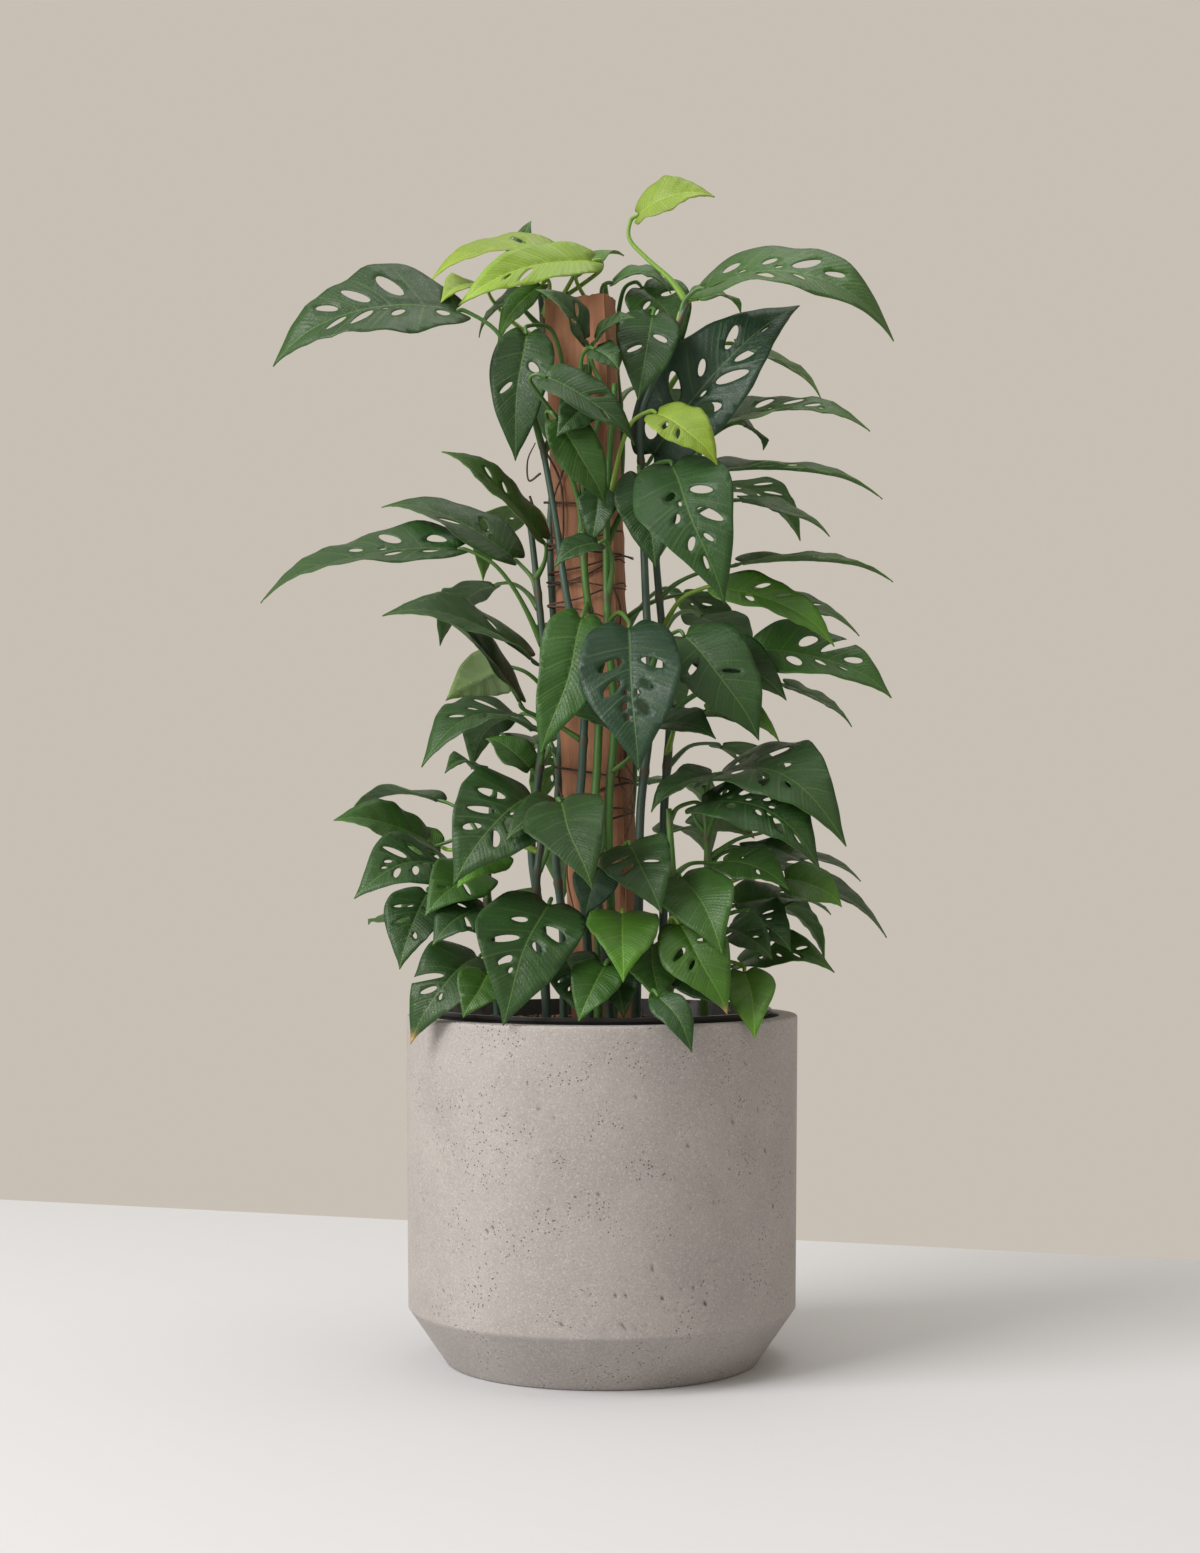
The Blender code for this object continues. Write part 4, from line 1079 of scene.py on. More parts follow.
# %% Where stems and stalks run
def stem_path(name):
    """The stem's axis: straight through the soil, then swaying a little from side to side."""
    corners = [Vector(point) for point in STEMS[name]]
    corners.insert(0, Vector((*corners[0].xy, STEM_FOOT)))
    path = corners[:2]
    for low, high in zip(corners[1:], corners[2:]):
        steps = max(1, round((high.z - low.z) / SWAY_STEP))
        for step in range(1, steps + 1):
            point = low.lerp(high, step / steps)
            turn = point.z / SWAY_LENGTH
            path.append(point + Vector((SWAY * math.sin(turn), SWAY_DEPTH * math.cos(turn), 0)))
    return path


def point_on_stem(name, height):
    path = stem_path(name)
    for low, high in zip(path, path[1:]):
        if height <= high.z:
            share = (height - low.z) / (high.z - low.z)
            return low.lerp(high, max(share, 0))
    return path[-1].copy()


def petiole_path(vine, leaf, bow):
    """A petiole leaves the stem steeply, bows out and meets the blade from behind and below."""
    foot = point_on_stem(vine, leaf.foot)
    base = Vector(leaf.base)
    along, normal, _ = blade_axes(leaf)
    neck = base - NECK * along - NECK_DROP * normal
    reach = (neck - foot).length
    out = unit(neck - foot)
    first = foot + reach * FOOT_PULL * unit(out + Vector((0, 0, FOOT_RISE))) + bow
    arrive = unit(ARRIVE_LEAN * out + along)
    pull = max(ARRIVE_PULL * reach, ARRIVE_NECKS * NECK)
    second = neck - pull * arrive + BOW_AT_NECK * bow
    steps = LONG_STEPS if reach > LONG_PETIOLE else SHORT_STEPS
    path = []
    for step in range(steps + 1):
        t = step / steps
        path.append(
            (1 - t) ** 3 * foot
            + 3 * (1 - t) ** 2 * t * first
            + 3 * (1 - t) * t * t * second
            + t**3 * neck
        )
    return path + [base]


# %% [markdown]
# ## Keeping the leaves clear of each other
#
# Living leaves push past each other until each has its own room. The rule here does the same: a plain
# copy of each blade and stalk is tested against all that stands already, and swung by small steps until
# it is clear. It is run again here as for the solids, with the same steps in the same order.


# %% Rings, and the skin between them
def rings_along(path, radii, sides, across, hand=1, hollow=0.0):
    """The corners of a tube's rings. hand turns them one way or the other, hollow presses in one side."""
    points = []
    for index, (centre, radius) in enumerate(zip(path, radii)):
        ahead = unit(path[min(index + 1, len(path) - 1)] - path[max(index - 1, 0)])
        across = unit(across - across.dot(ahead) * ahead)
        beside = hand * ahead.cross(across)
        for side in range(sides):
            turn = math.tau * side / sides
            press = 1 - hollow * max(math.sin(turn), 0) ** 4
            points.append(centre + radius * (math.cos(turn) * across + press * math.sin(turn) * beside))
    return points


def skin_between(rings, sides, first=0):
    """The triangles between neighbouring rings of corners, the first of which has the number first."""
    triangles = []
    for ring in range(rings - 1):
        for side in range(sides):
            following = (side + 1) % sides
            low, high = first + ring * sides, first + (ring + 1) * sides
            triangles.append((low + side, low + following, high + following))
            triangles.append((low + side, high + following, high + side))
    return triangles


# %% Plain tubes
def tube(path, radii, sides):
    """A closed tube along a path, with flat ends."""
    across = unit(path[1] - path[0]).orthogonal().normalized()
    points = rings_along(path, radii, sides, across)
    triangles = skin_between(len(path), sides)
    for first, turned_round in ((0, True), ((len(path) - 1) * sides, False)):
        for side in range(1, sides - 1):
            corner = (first, first + side, first + side + 1)
            triangles.append(corner[::-1] if turned_round else corner)
    return Shape(points, triangles)


def petiole_radii(path, room=0):
    last = len(path) - 1
    taper = (PETIOLE_TIP_RADIUS - PETIOLE_RADIUS) / last
    return [PETIOLE_RADIUS + taper * index + room for index in range(last + 1)]


# %% Plain blades
def inside(point, loop):
    """Whether a point of the plane lies in a loop."""
    count = 0
    for (x0, y0), (x1, y1) in zip(loop, loop[1:] + loop[:1]):
        if (y0 > point[1]) != (y1 > point[1]):
            count += point[0] < x0 + (point[1] - y0) * (x1 - x0) / (y1 - y0)
    return count % 2 == 1


def plain_blade(leaf, thickness):
    """A slab with the blade's coarse outline and no windows."""
    small = leaf.width < SMALL_BLADE
    half = SMALL_OUTLINE if small else HALF_OUTLINE
    seat = PETIOLE_TIP_RADIUS / (leaf.width / 2)
    side = [(0.0, seat)] + list(half)
    outline = side + [(1.0, 0.0)] + [(s, -v) for s, v in reversed(side)]
    edges = [(i, (i + 1) % len(outline)) for i in range(len(outline))]
    midrib = SMALL_MIDRIB_POINTS if small else MIDRIB_POINTS
    rib = list(range(len(outline), len(outline) + len(midrib))) + [outline.index((1.0, 0.0))]
    flat = outline + [(s, 0.0) for s in midrib]
    edges += list(zip(rib, rib[1:]))
    length = (Vector(leaf.tip) - Vector(leaf.base)).length
    scaled = [Vector((s * length, v * leaf.width / 2)) for s, v in flat]
    _, _, faces, *_ = delaunay_2d_cdt(scaled, edges, [], 1, 1e-4)
    kept = []
    for face in faces:
        centre = [sum(flat[i][axis] for i in face) / 3 for axis in (0, 1)]
        if inside(centre, outline):
            kept.append(tuple(face))
    middle = [blade_point(leaf, s, v) for s, v in flat]
    normals = [Vector() for _ in middle]
    for a, b, c in kept:
        area = (middle[b] - middle[a]).cross(middle[c] - middle[a])
        for corner in (a, b, c):
            normals[corner] += area
    offset = [0.5 * thickness * unit(normal) for normal in normals]
    count = len(middle)
    points = [p + o for p, o in zip(middle, offset)] + [p - o for p, o in zip(middle, offset)]
    triangles = list(kept) + [(c + count, b + count, a + count) for a, b, c in kept]
    borders = {(a, b) for face in kept for a, b in zip(face, face[1:] + face[:1])}
    for a, b in sorted(borders):
        if (b, a) not in borders:
            triangles += [(b, a, a + count), (b, a + count, b + count)]
    return Shape(points, triangles)


# %% The solids that the leaves keep clear of
def solid_of(name):
    """A piece of the frame in millimetres, as the leaves meet it."""
    mesh = bpy.data.objects[name].data
    points = [vertex.co / MM for vertex in mesh.vertices]
    return Shape(points, [tuple(face.vertices) for face in mesh.polygons])


def board_shape(room):
    """The leaning board as a box with its long edges eased, larger by some room."""
    axis, wide, deep = board_frame()
    half_across = BOARD_WIDTH / 2 + room
    half_depth = BOARD_THICKNESS / 2 + room
    corners = []
    for x, y in ((-1, -1), (1, -1), (1, 1), (-1, 1)):
        by_side = (x * half_across, y * (half_depth - BOARD_EDGE))
        by_face = (x * (half_across - BOARD_EDGE), y * half_depth)
        corners += [by_side, by_face] if x * y > 0 else [by_face, by_side]
    ends = (Vector(BOARD_FOOT) - room * axis, Vector(BOARD_TOP))
    points = [end + a * wide + b * deep for end in ends for a, b in corners]
    count = len(corners)
    triangles = []
    for i in range(count):
        j = (i + 1) % count
        triangles += [(i, j, j + count), (i, j + count, i + count)]
    for i in range(1, count - 1):
        triangles += [(0, i + 1, i), (count, count + i, count + i + 1)]
    return Shape(points, triangles)


# %% The clear rule
def tree_of(shape):
    return BVHTree.FromPolygons(shape.points, shape.triangles)


# What already stands, each piece with its vine's name and a little room round it
Standing = namedtuple("Standing", "stems blades petioles")


def crossings(shape, vine, lists):
    """How many pieces the shape crosses, on other vines and on its own."""
    probe = tree_of(shape)
    others = own = 0
    for placed in lists:
        for name, piece in placed:
            if piece.overlap(probe):
                others += name != vine
                own += name == vine
    return others, own


# %% What a leaf may do to get clear
def swings():
    """Small changes of a blade's place, the smallest first: depth of tip, of base, and face."""
    steps = [(tip, base, face) for tip in TIP_SWINGS for base in BASE_SWINGS for face in FACE_SWINGS]
    return sorted(steps, key=lambda step: sum(abs(part) * cost for part, cost in zip(step, SWING_COSTS)))


def bows():
    """Offsets that bend a petiole round what is in its way, the smallest first."""
    found = [Vector()]
    for size in BOW_SIZES:
        for turn in range(0, 360, BOW_TURN):
            found.append(size * compass(turn))
        found += [Vector((0, 0, size)), Vector((0, 0, -size))]
    return found


def swung(leaf, step):
    """The leaf with its tip and base moved in depth, and turned a little to face up or down."""
    tip, base, face = step
    depth = -compass(leaf.front)
    if leaf.front != FRONT:
        depth = depth.cross(Vector((0, 0, 1)))
    return leaf._replace(
        tip=tuple(Vector(leaf.tip) + tip * depth),
        base=tuple(Vector(leaf.base) + base * depth),
        face=leaf.face + face,
    )


def sharp_turns(path):
    """How many joints of the path turn too far for its sides to stay apart."""
    ways = [unit(after - before) for before, after in zip(path, path[1:])]
    return sum(one.dot(two) < SHARPEST for one, two in zip(ways, ways[1:]))


# %% The first place that is clear
def clear_petiole(vine, leaf, standing):
    """The petiole with the least bow that is clear, and how much it still crosses."""
    best = None
    blade = [(None, tree_of(plain_blade(leaf, BLADE_THICKNESS)))]
    for bow in bows():
        path = petiole_path(vine, leaf, bow)
        shape = tube(path, petiole_radii(path, PROBE_ROOM), 4)
        stems = [item for item in standing.stems if item[0] != vine]
        others, own = crossings(shape, vine, (stems, standing.blades))
        more, _ = crossings(shape, vine, (standing.petioles,))
        stalk = tube(path[:-1], petiole_radii(path, PROBE_ROOM)[:-1], 4)
        folded, _ = crossings(stalk, vine, (blade,))
        cost = GRAVE * (others + more + folded + sharp_turns(path)) + own
        if best is None or cost < best[0]:
            best = (cost, path)
        if cost == 0:
            break
    return best


def place(vine, leaf, standing):
    """The leaf swung clear of what stands, with its petiole's path."""
    best = None
    for step in swings():
        tried = swung(leaf, step)
        shape = plain_blade(tried, BLADE_THICKNESS)
        others, own = crossings(shape, vine, standing)
        cost = GRAVE * others + own
        if best is not None and cost >= best[0]:
            continue
        petiole_cost, path = clear_petiole(vine, tried, standing)
        if best is None or cost + petiole_cost < best[0]:
            best = (cost + petiole_cost, tried, path)
        if best[0] == 0:
            break
    _, leaf, path = best
    room = 2 * CLEARANCE + BLADE_THICKNESS
    standing.blades.append((vine, tree_of(plain_blade(leaf, room))))
    standing.petioles.append((vine, tree_of(tube(path, petiole_radii(path, CLEARANCE), 4))))
    return leaf, path


# %% Leaves of the fans
def fan_leaves(name, draw):
    """Leaves that reach out to both sides in turn, higher and higher up the stem."""
    low, high, count, middle, spread, (shortest, longest) = FANS[name]
    leaves = []
    for index in range(count):
        foot = low + (high - low) * (index + 0.5) / count
        side = 1 if index % 2 else -1
        angle = middle + side * spread * draw.uniform(*FAN_SPREAD)
        length = draw.uniform(shortest, longest)
        out = compass(angle)
        base = point_on_stem(name, foot) + out * length * draw.uniform(*FAN_REACH)
        base.z += draw.uniform(*FAN_RISE)
        drop = math.radians(draw.uniform(*FAN_DROP))
        tip = base + length * (out * math.cos(drop) - Vector((0, 0, math.sin(drop))))
        style = FAN_STYLES[index % len(FAN_STYLES)]
        tone = FAN_TONES[index % len(FAN_TONES)]
        width = round(FAN_WIDTH * length)
        look = (width, FAN_FACE, FAN_ARCH, style, tone, angle)
        leaves.append(Leaf(round(foot), tuple(base), tuple(tip), *look))
    return leaves


# %% Place every leaf
def fixed_pieces():
    """What the leaves keep clear of, with a vine's name or the piece's own."""
    standing = Standing([], [], [])
    for name in STEMS:
        path = stem_path(name)
        last = len(path) - 1
        radii = [(STEM_RADIUS if i < last else STEM_TIP_RADIUS) + PROBE_ROOM for i in range(len(path))]
        standing.stems.append((name, tree_of(tube(path, radii, STEM_SIDES))))
    standing.stems.append(("board", tree_of(board_shape(CLEARANCE))))
    for name in ("planter", "grow_pot", "soil"):
        standing.stems.append((name, tree_of(solid_of(name))))
    return standing


def grow_leaves():
    standing = fixed_pieces()
    draw = random.Random(FAN_SEED)
    grown = {name: [] for name in STEMS}
    for name in STEMS:
        for leaf in LEAVES.get(name, []):
            grown[name].append(place(name, leaf, standing))
    for name in FANS:
        for leaf in fan_leaves(name, draw):
            grown[name].append(place(name, leaf, standing))
    return grown


GROWN = grow_leaves()


def check_places():
    """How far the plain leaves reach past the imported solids, in millimetres."""
    worst = 0
    for name, leaves in GROWN.items():
        low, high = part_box(name)
        for leaf, _ in leaves:
            for point in plain_blade(leaf, BLADE_THICKNESS).points:
                for axis in range(3):
                    worst = max(worst, low[axis] / MM - point[axis], point[axis] - high[axis] / MM)
    return worst


print("leaves placed; furthest past their solids:", round(check_places(), 3), "mm")

# %% [markdown]
# ## The fine blade
#
# The real blade is heart shaped with a drawn out tip. Side veins leave the midrib and lean towards the tip,
# and the windows open between them, largest in the middle of each half. So the blade is drawn in vein
# coordinates: m says between which side veins a point lies, a how far out it is. Windows are ovals in these
# coordinates, which bends them along the veins. The sheet is then filled with points that follow the veins,
# quilted between them, and given two faces and a rim. Primitives have no such outlines, so this piece is
# made in mesh code.

# %% Vein coordinates
FIRST_SLOPE = 0.0
SLOPE_GAIN = 0.62
VEIN_BEND = 1.2
VEINS = {True: 5, False: 6}


def vein_to_s(m, a):
    """The place along the midrib of the point at m, a out."""
    return m + (FIRST_SLOPE + SLOPE_GAIN * m) * a**VEIN_BEND


def s_to_vein(s, a):
    lean = np.abs(a) ** VEIN_BEND
    return (s - FIRST_SLOPE * lean) / (1 + SLOPE_GAIN * lean)


# %% Outline and windows
FINE_TIP = ((0.93, 0.13), (1.0, 0.0))
OUTLINE_STEPS = 7
SMALL_OUTLINE_STEPS = 5
# Which gaps between side veins may hold a window, by the blade's style, and how likely each is
WINDOWS = {
    "h": (1, 2, 3),
    "H": (0, 1, 2, 3, 4),
    "c": (1, 2, 3),
    "d": (1, 2, 3),
    "C": (0, 1, 2, 3),
}
CHANCE = {
    "h": (0, 0.8, 0.5, 0.3, 0),
    "H": (0.5, 1, 1, 0.8, 0.2),
    "c": (0, 0.8, 0, 0.4, 0),
    "d": (0, 0.8, 0, 0.4, 0),
    "C": (0.6, 1, 1, 1, 0),
}
# The gap that is open to the margin, on the left half or the right
OPEN_GAPS = {("c", 1): 2, ("d", -1): 2, ("C", 1): 2}
GAP_LENGTH = (0.6, 0.9, 1.0, 0.85, 0.5)
WINDOW_INNER = (0.14, 0.26)
WINDOW_OUTER = (0.66, 0.84)
WINDOW_HALF = {
    "h": (0.12, 0.19),
    "H": (0.16, 0.25),
    "c": (0.16, 0.22),
    "d": (0.16, 0.22),
    "C": (0.20, 0.28),
}
WINDOW_SHIFT = 0.12
WINDOW_SHARP = (-0.1, 0.35)
OPEN_GAP_REACH = (0.2, 1.3)
SHORT_CHANCE = 0.3
SHORT_SHARE = (0.4, 0.7)
SHORT_WIDTH = 0.8
DOT_CHANCE = 0.3
DOT_PLACE = 0.115
DOT_HALF = (0.12, 0.04)
WOBBLE = 0.08
WOBBLE_TURNS = 9


def curve_through(points, steps):
    """A smooth curve through points in the plane or in space, ends included."""
    points = [Vector(p) for p in points]
    padded = [2 * points[0] - points[1]] + points + [2 * points[-1] - points[-2]]
    found = []
    for i in range(len(points) - 1):
        p0, p1, p2, p3 = padded[i:i + 4]
        for step in range(steps):
            t = step / steps
            found.append(0.5 * (2 * p1 + (p2 - p0) * t + (2 * p0 - 5 * p1 + 4 * p2 - p3) * t * t
                                + (3 * p1 - p0 - 3 * p2 + p3) * t**3))
    return found + [points[-1]]


# %% One side of the outline
def fine_side(leaf, lean, draw):
    """One side of the outline, from the stalk's seat to the tip."""
    small = leaf.width < SMALL_BLADE
    half = SMALL_OUTLINE if small else HALF_OUTLINE
    seat = PETIOLE_TIP_RADIUS / (leaf.width / 2)
    points = [(0.0, seat)] + [(s, v * lean) for s, v in half] + list(FINE_TIP)
    side = curve_through(points, SMALL_OUTLINE_STEPS if small else OUTLINE_STEPS)
    phase = draw.uniform(0, math.tau)
    for index, point in enumerate(side[1:-1]):
        share = min(index, len(side) - index) / len(side)
        point.y *= 1 + WOBBLE * share * math.sin(WOBBLE_TURNS * point.x + phase)
    return side


# %% The windows between the veins
REACH_FROM = 0.04
REACH_TO = 1.2
REACH_STEP = 0.02


def reach_at(m, outline, side):
    """How far out the blade goes along the vein line m."""
    a = REACH_FROM
    while a < REACH_TO and inside((vein_to_s(m, a), side * (a + REACH_STEP)), outline):
        a += REACH_STEP
    return a


def oval(m, a, half_m, half_a, side, sharp, sides=16):
    """A window's edge: an oval in vein coordinates, narrower at one end as sharp says."""
    loop = []
    for step in range(sides):
        turn = math.tau * step / sides
        out = a + half_a * math.cos(turn)
        beside = m + half_m * math.sin(turn) * (1 - sharp * math.cos(turn))
        loop.append((vein_to_s(beside, max(out, 0.02)), side * out))
    return loop


def windows_of(leaf, outline, draw):
    """The edges of a blade's windows, half by half and gap by gap."""
    style = leaf.style
    if style not in WINDOWS:
        return []
    veins = VEINS[leaf.width < SMALL_BLADE]
    loops = []
    for side in (1, -1):
        for gap in WINDOWS[style]:
            shift = draw.uniform(-WINDOW_SHIFT, WINDOW_SHIFT)
            m = (gap + 0.5 + shift) / veins
            reach = reach_at(m, outline, side)
            half_m = draw.uniform(*WINDOW_HALF[style]) / veins
            inner = draw.uniform(*WINDOW_INNER) * reach
            outer = inner + (draw.uniform(*WINDOW_OUTER) * reach - inner) * GAP_LENGTH[gap]
            sharp = draw.uniform(*WINDOW_SHARP)
            if draw.random() < SHORT_CHANCE:
                outer = inner + (outer - inner) * draw.uniform(*SHORT_SHARE)
                half_m *= SHORT_WIDTH
            dot = draw.random() < DOT_CHANCE
            if OPEN_GAPS.get((style, side)) == gap:
                inner, outer = (share * reach for share in OPEN_GAP_REACH)
            elif draw.random() > CHANCE[style][gap]:
                continue
            loops.append(oval(m, (inner + outer) / 2, half_m, (outer - inner) / 2, side, sharp))
            if dot and style in "HC":
                loops.append(oval(m + 0.5 / veins, DOT_PLACE, DOT_HALF[0] / veins, DOT_HALF[1], side, 0, 8))
    return loops


# %% Points of the sheet
# How far apart the filling points are, and their room from an edge, on large blades and on small ones
FILL_STEP = (0.1, 0.14)
FILL_ROOM = (1.9, 1.7)
FILL_COLUMNS = 12
ROWS_PER_VEIN = 4
RIB_END = 0.97


def in_loop(points, loop):
    """For each point, whether it lies in the loop."""
    x, y = points[:, 0], points[:, 1]
    hits = np.zeros(len(points), int)
    for (x0, y0), (x1, y1) in zip(loop, loop[1:] + loop[:1]):
        if y0 != y1:
            hits += ((y0 > y) != (y1 > y)) & (x < x0 + (y - y0) * (x1 - x0) / (y1 - y0))
    return hits % 2 == 1


def in_sheet(points, loops):
    """For each point, whether it lies in the outline, which is the first loop, and in no window."""
    return in_loop(points, loops[0]) & ~np.any([in_loop(points, loop) for loop in loops[1:]], axis=0)


def nearest(points, loop):
    """The distance from each point to the loop's corners and the middles of its sides."""
    ring = np.array(loop)
    ring = np.concatenate([ring, (ring + np.roll(ring, 1, axis=0)) / 2])
    return np.sqrt(((points[:, None, :] - ring[None, :, :]) ** 2).sum(2)).min(1)


def filling(loops, size, small):
    """Points in rows along the veins, clear of every edge."""
    rows = ROWS_PER_VEIN * VEINS[small]
    fill = []
    for row in range(1, rows):
        m = row / rows
        for column in range(1, FILL_COLUMNS + 1):
            a = (column - 0.5 * (row % 2)) * FILL_STEP[small]
            fill += [(vein_to_s(m, a), a), (vein_to_s(m, a), -a)]
    fill = np.array(fill)
    fill = fill[in_sheet(fill, loops)]
    spare = np.min([nearest(fill * size, np.array(loop) * size) for loop in loops], axis=0)
    return fill[spare > FILL_ROOM[small]]


# %% Triangles of the sheet
def fine_sheet(leaf, draw):
    """Points in s and v with the triangles between them."""
    small = leaf.width < SMALL_BLADE
    lean = draw.uniform(-0.05, 0.05)
    left = [tuple(p) for p in fine_side(leaf, 1 + lean, draw)]
    right = [(p[0], -p[1]) for p in fine_side(leaf, 1 - lean, draw)]
    outline = left + right[-2::-1]
    loops = [outline] + windows_of(leaf, outline, draw)
    length = (Vector(leaf.tip) - Vector(leaf.base)).length
    size = np.array((length, leaf.width / 2))
    rib = [(s, 0.0) for s in np.linspace(0.0, RIB_END, ROWS_PER_VEIN * VEINS[small])]
    flat, edges = [], []
    for loop in loops:
        first = len(flat)
        flat += loop
        edges += [(first + i, first + (i + 1) % len(loop)) for i in range(len(loop))]
    first = len(flat)
    flat += rib
    edges += [(i, i + 1) for i in range(first, len(flat) - 1)]
    flat += [tuple(p) for p in filling(loops, size, small)]
    scaled = [Vector((s * length, v * leaf.width / 2)) for s, v in flat]
    points, _, faces, *_ = delaunay_2d_cdt(scaled, edges, [], 1, 1e-3)
    points = np.array([tuple(p) for p in points]) / size
    faces = np.array(faces)
    faces = faces[in_sheet(points[faces].mean(1), loops)]
    used, faces = np.unique(faces, return_inverse=True)
    return points[used], faces.reshape(-1, 3)


# %% Raise the sheet into a leaf
QUILT = 0.6
RIPPLE = 0.014
RIB_GROOVE = 0.6
GROOVE_HALF = 1.4
GROOVE_END = 1.1
RIB_KEEL = 1.0
SICKLE = 0.045
TWIST = 0.24
THICK = (0.75, 0.45)
TIP_DROOP = 0.06
TIP_FROM = 0.7


def fine_surface(leaf, s, v, draw):
    """The middle surface's points and its vein coordinates: the vein number and the distance across."""
    along, normal, left = (np.array(axis) for axis in blade_axes(leaf))
    length = (Vector(leaf.tip) - Vector(leaf.base)).length
    a = np.abs(v)
    veins = VEINS[leaf.width < SMALL_BLADE]
    m = s_to_vein(s, a) * veins
    across = 0.5 * leaf.width * v
    fold = math.radians(FOLD)
    rise = length * leaf.arch / 100 * 4 * s * (1 - s)
    phase = leaf.foot + leaf.width
    wave = WAVE * leaf.width * v * a * np.sin(math.tau * WAVES * s + phase)
    droop = MARGIN_DROOP * leaf.width * a**2
    ripple = RIPPLE * leaf.width * a**2 * np.sin(math.tau * (m + draw.random()))
    tip_droop = TIP_DROOP * length * np.clip((s - TIP_FROM) / (1 - TIP_FROM), 0, 1) ** 2
    quilt = QUILT * np.sin(math.pi * m) ** 2 * np.clip(a * 5, 0, 1) * np.clip((1 - s) * 4, 0, 1)
    groove = RIB_GROOVE * np.exp(-((across / GROOVE_HALF) ** 2)) * np.clip(GROOVE_END - s, 0, 1)
    bow = np.sin(math.pi * np.clip(s, 0, 1)) ** 2
    bend = SICKLE * draw.uniform(-1, 1) * length * bow
    twist = TWIST * draw.uniform(-1, 1) * across * np.clip(s, 0, 1)
    lift = rise + np.abs(across) * math.sin(fold) + wave + twist + ripple + quilt
    lift -= droop + tip_droop + groove
    points = (
        np.array(leaf.base)
        + np.outer(length * s, along)
        + np.outer(across * math.cos(fold) + bend, left)
        + np.outer(lift, normal)
    )
    return points, m, across


# %% Two faces and a rim
def slab(points, faces):
    """Upper and lower faces, a rim along every open edge, and which of the triangles are rim."""
    count = len(points)
    order = {(a, b): True for face in faces.tolist() for a, b in zip(face, face[1:] + face[:1])}
    rim = [(a, b) for a, b in order if (b, a) not in order]
    lower = faces[:, ::-1] + count
    sides = []
    for a, b in rim:
        sides += [(b, a, a + count), (b, a + count, b + count)]
    rim_marks = np.zeros(2 * len(faces) + len(sides), bool)
    rim_marks[2 * len(faces):] = True
    return np.concatenate([faces, lower, np.array(sides)]), rim_marks


def sheet_normals(points, faces):
    """The way out of the upper side at each point."""
    corner = points[faces]
    area = np.cross(corner[:, 1] - corner[:, 0], corner[:, 2] - corner[:, 0])
    found = np.zeros_like(points)
    for k in range(3):
        np.add.at(found, faces[:, k], area)
    return found / np.maximum(np.linalg.norm(found, axis=1, keepdims=True), 1e-9)


# %% The whole blade
KEEL_HALF = 1.2
KEEL_END = 1.15
SIDE_KEEL = 0.25
SIDE_KEEL_SHARP = 5


def fine_blade(leaf, draw):
    """Points, triangles, the numbers that the leaf finish reads at each point, and the rim."""
    flat, faces = fine_sheet(leaf, draw)
    s, v = flat[:, 0], flat[:, 1]
    middle, m, across = fine_surface(leaf, s, v, draw)
    out = sheet_normals(middle, faces)
    thick = THICK[0] + (THICK[1] - THICK[0]) * np.clip(np.abs(v), 0, 1)
    keel = RIB_KEEL * np.exp(-((across / KEEL_HALF) ** 2)) * np.clip(KEEL_END - s, 0, 1)
    side_keel = SIDE_KEEL * np.clip(1 - np.abs(np.mod(m + 0.5, 1) - 0.5) * SIDE_KEEL_SHARP, 0, 1)
    upper = middle + out * (thick / 2)[:, None]
    lower = middle - out * (thick / 2 + keel + side_keel)[:, None]
    triangles, rim = slab(middle, faces)
    points = np.concatenate([upper, lower])
    veins = np.stack([m, np.abs(across), s], axis=1)
    outwards = np.abs(v) / np.abs(v).max()
    marks = [np.stack([np.full(len(s), side), np.zeros(len(s)), outwards], axis=1) for side in (0.0, 1.0)]
    return points, triangles, np.concatenate([veins, veins]), np.concatenate(marks), rim


# %% [markdown]
# ## Stems and stalks
#
# A stem is a tube that swells at each node, where a leaf stalk leaves it and a brown ring marks the old
# sheath. A stalk starts as a sheath that hugs the stem, narrows, and thickens again just below the blade,
# in the joint with which the plant turns its leaf to the light. Its upper side is slightly hollow.


# %% Fine tubes
def fine_tube(path, radii, sides, hollow=0.0, up=None):
    """Points and triangles of a tube. hollow presses in the side that faces up."""
    ahead = unit(path[1] - path[0])
    across = ahead.orthogonal().normalized()
    if up is not None:
        across = unit(ahead.cross(up)) if ahead.cross(up).length > 0.1 else ahead.orthogonal()
    points = rings_along(path, radii, sides, across, -1, hollow) + [path[0], path[-1]]
    triangles = [(a, c, b) for a, b, c in skin_between(len(path), sides)]
    start, end = len(points) - 2, len(points) - 1
    top = (len(path) - 1) * sides
    for side in range(sides):
        following = (side + 1) % sides
        triangles += [(start, side, following), (end, top + following, top + side)]
    return np.array([tuple(p) for p in points]), np.array(triangles)


# %% Stem and stalk of one leaf
STEM_CURVE_STEPS = 14
STEM_RING_SIDES = 10
STEM_TAPER_FROM = 290
STEM_SLIM = 0.92
STEM_SWELL = 0.22
RING_SPAN = 3.0
STALK_CURVE_STEPS = 5
STALK_SIDES = 8
STALK_HOLLOW = 0.45
SHEATH = 0.9
SHEATH_SHARE = 0.3
JOINT = 0.35
JOINT_AT = 0.86
JOINT_SPAN = 0.07


def at_rings(values, sides):
    """One value a ring, as one value a point of a fine tube."""
    return np.array(np.repeat(values, sides).tolist() + [values[0], values[-1]])


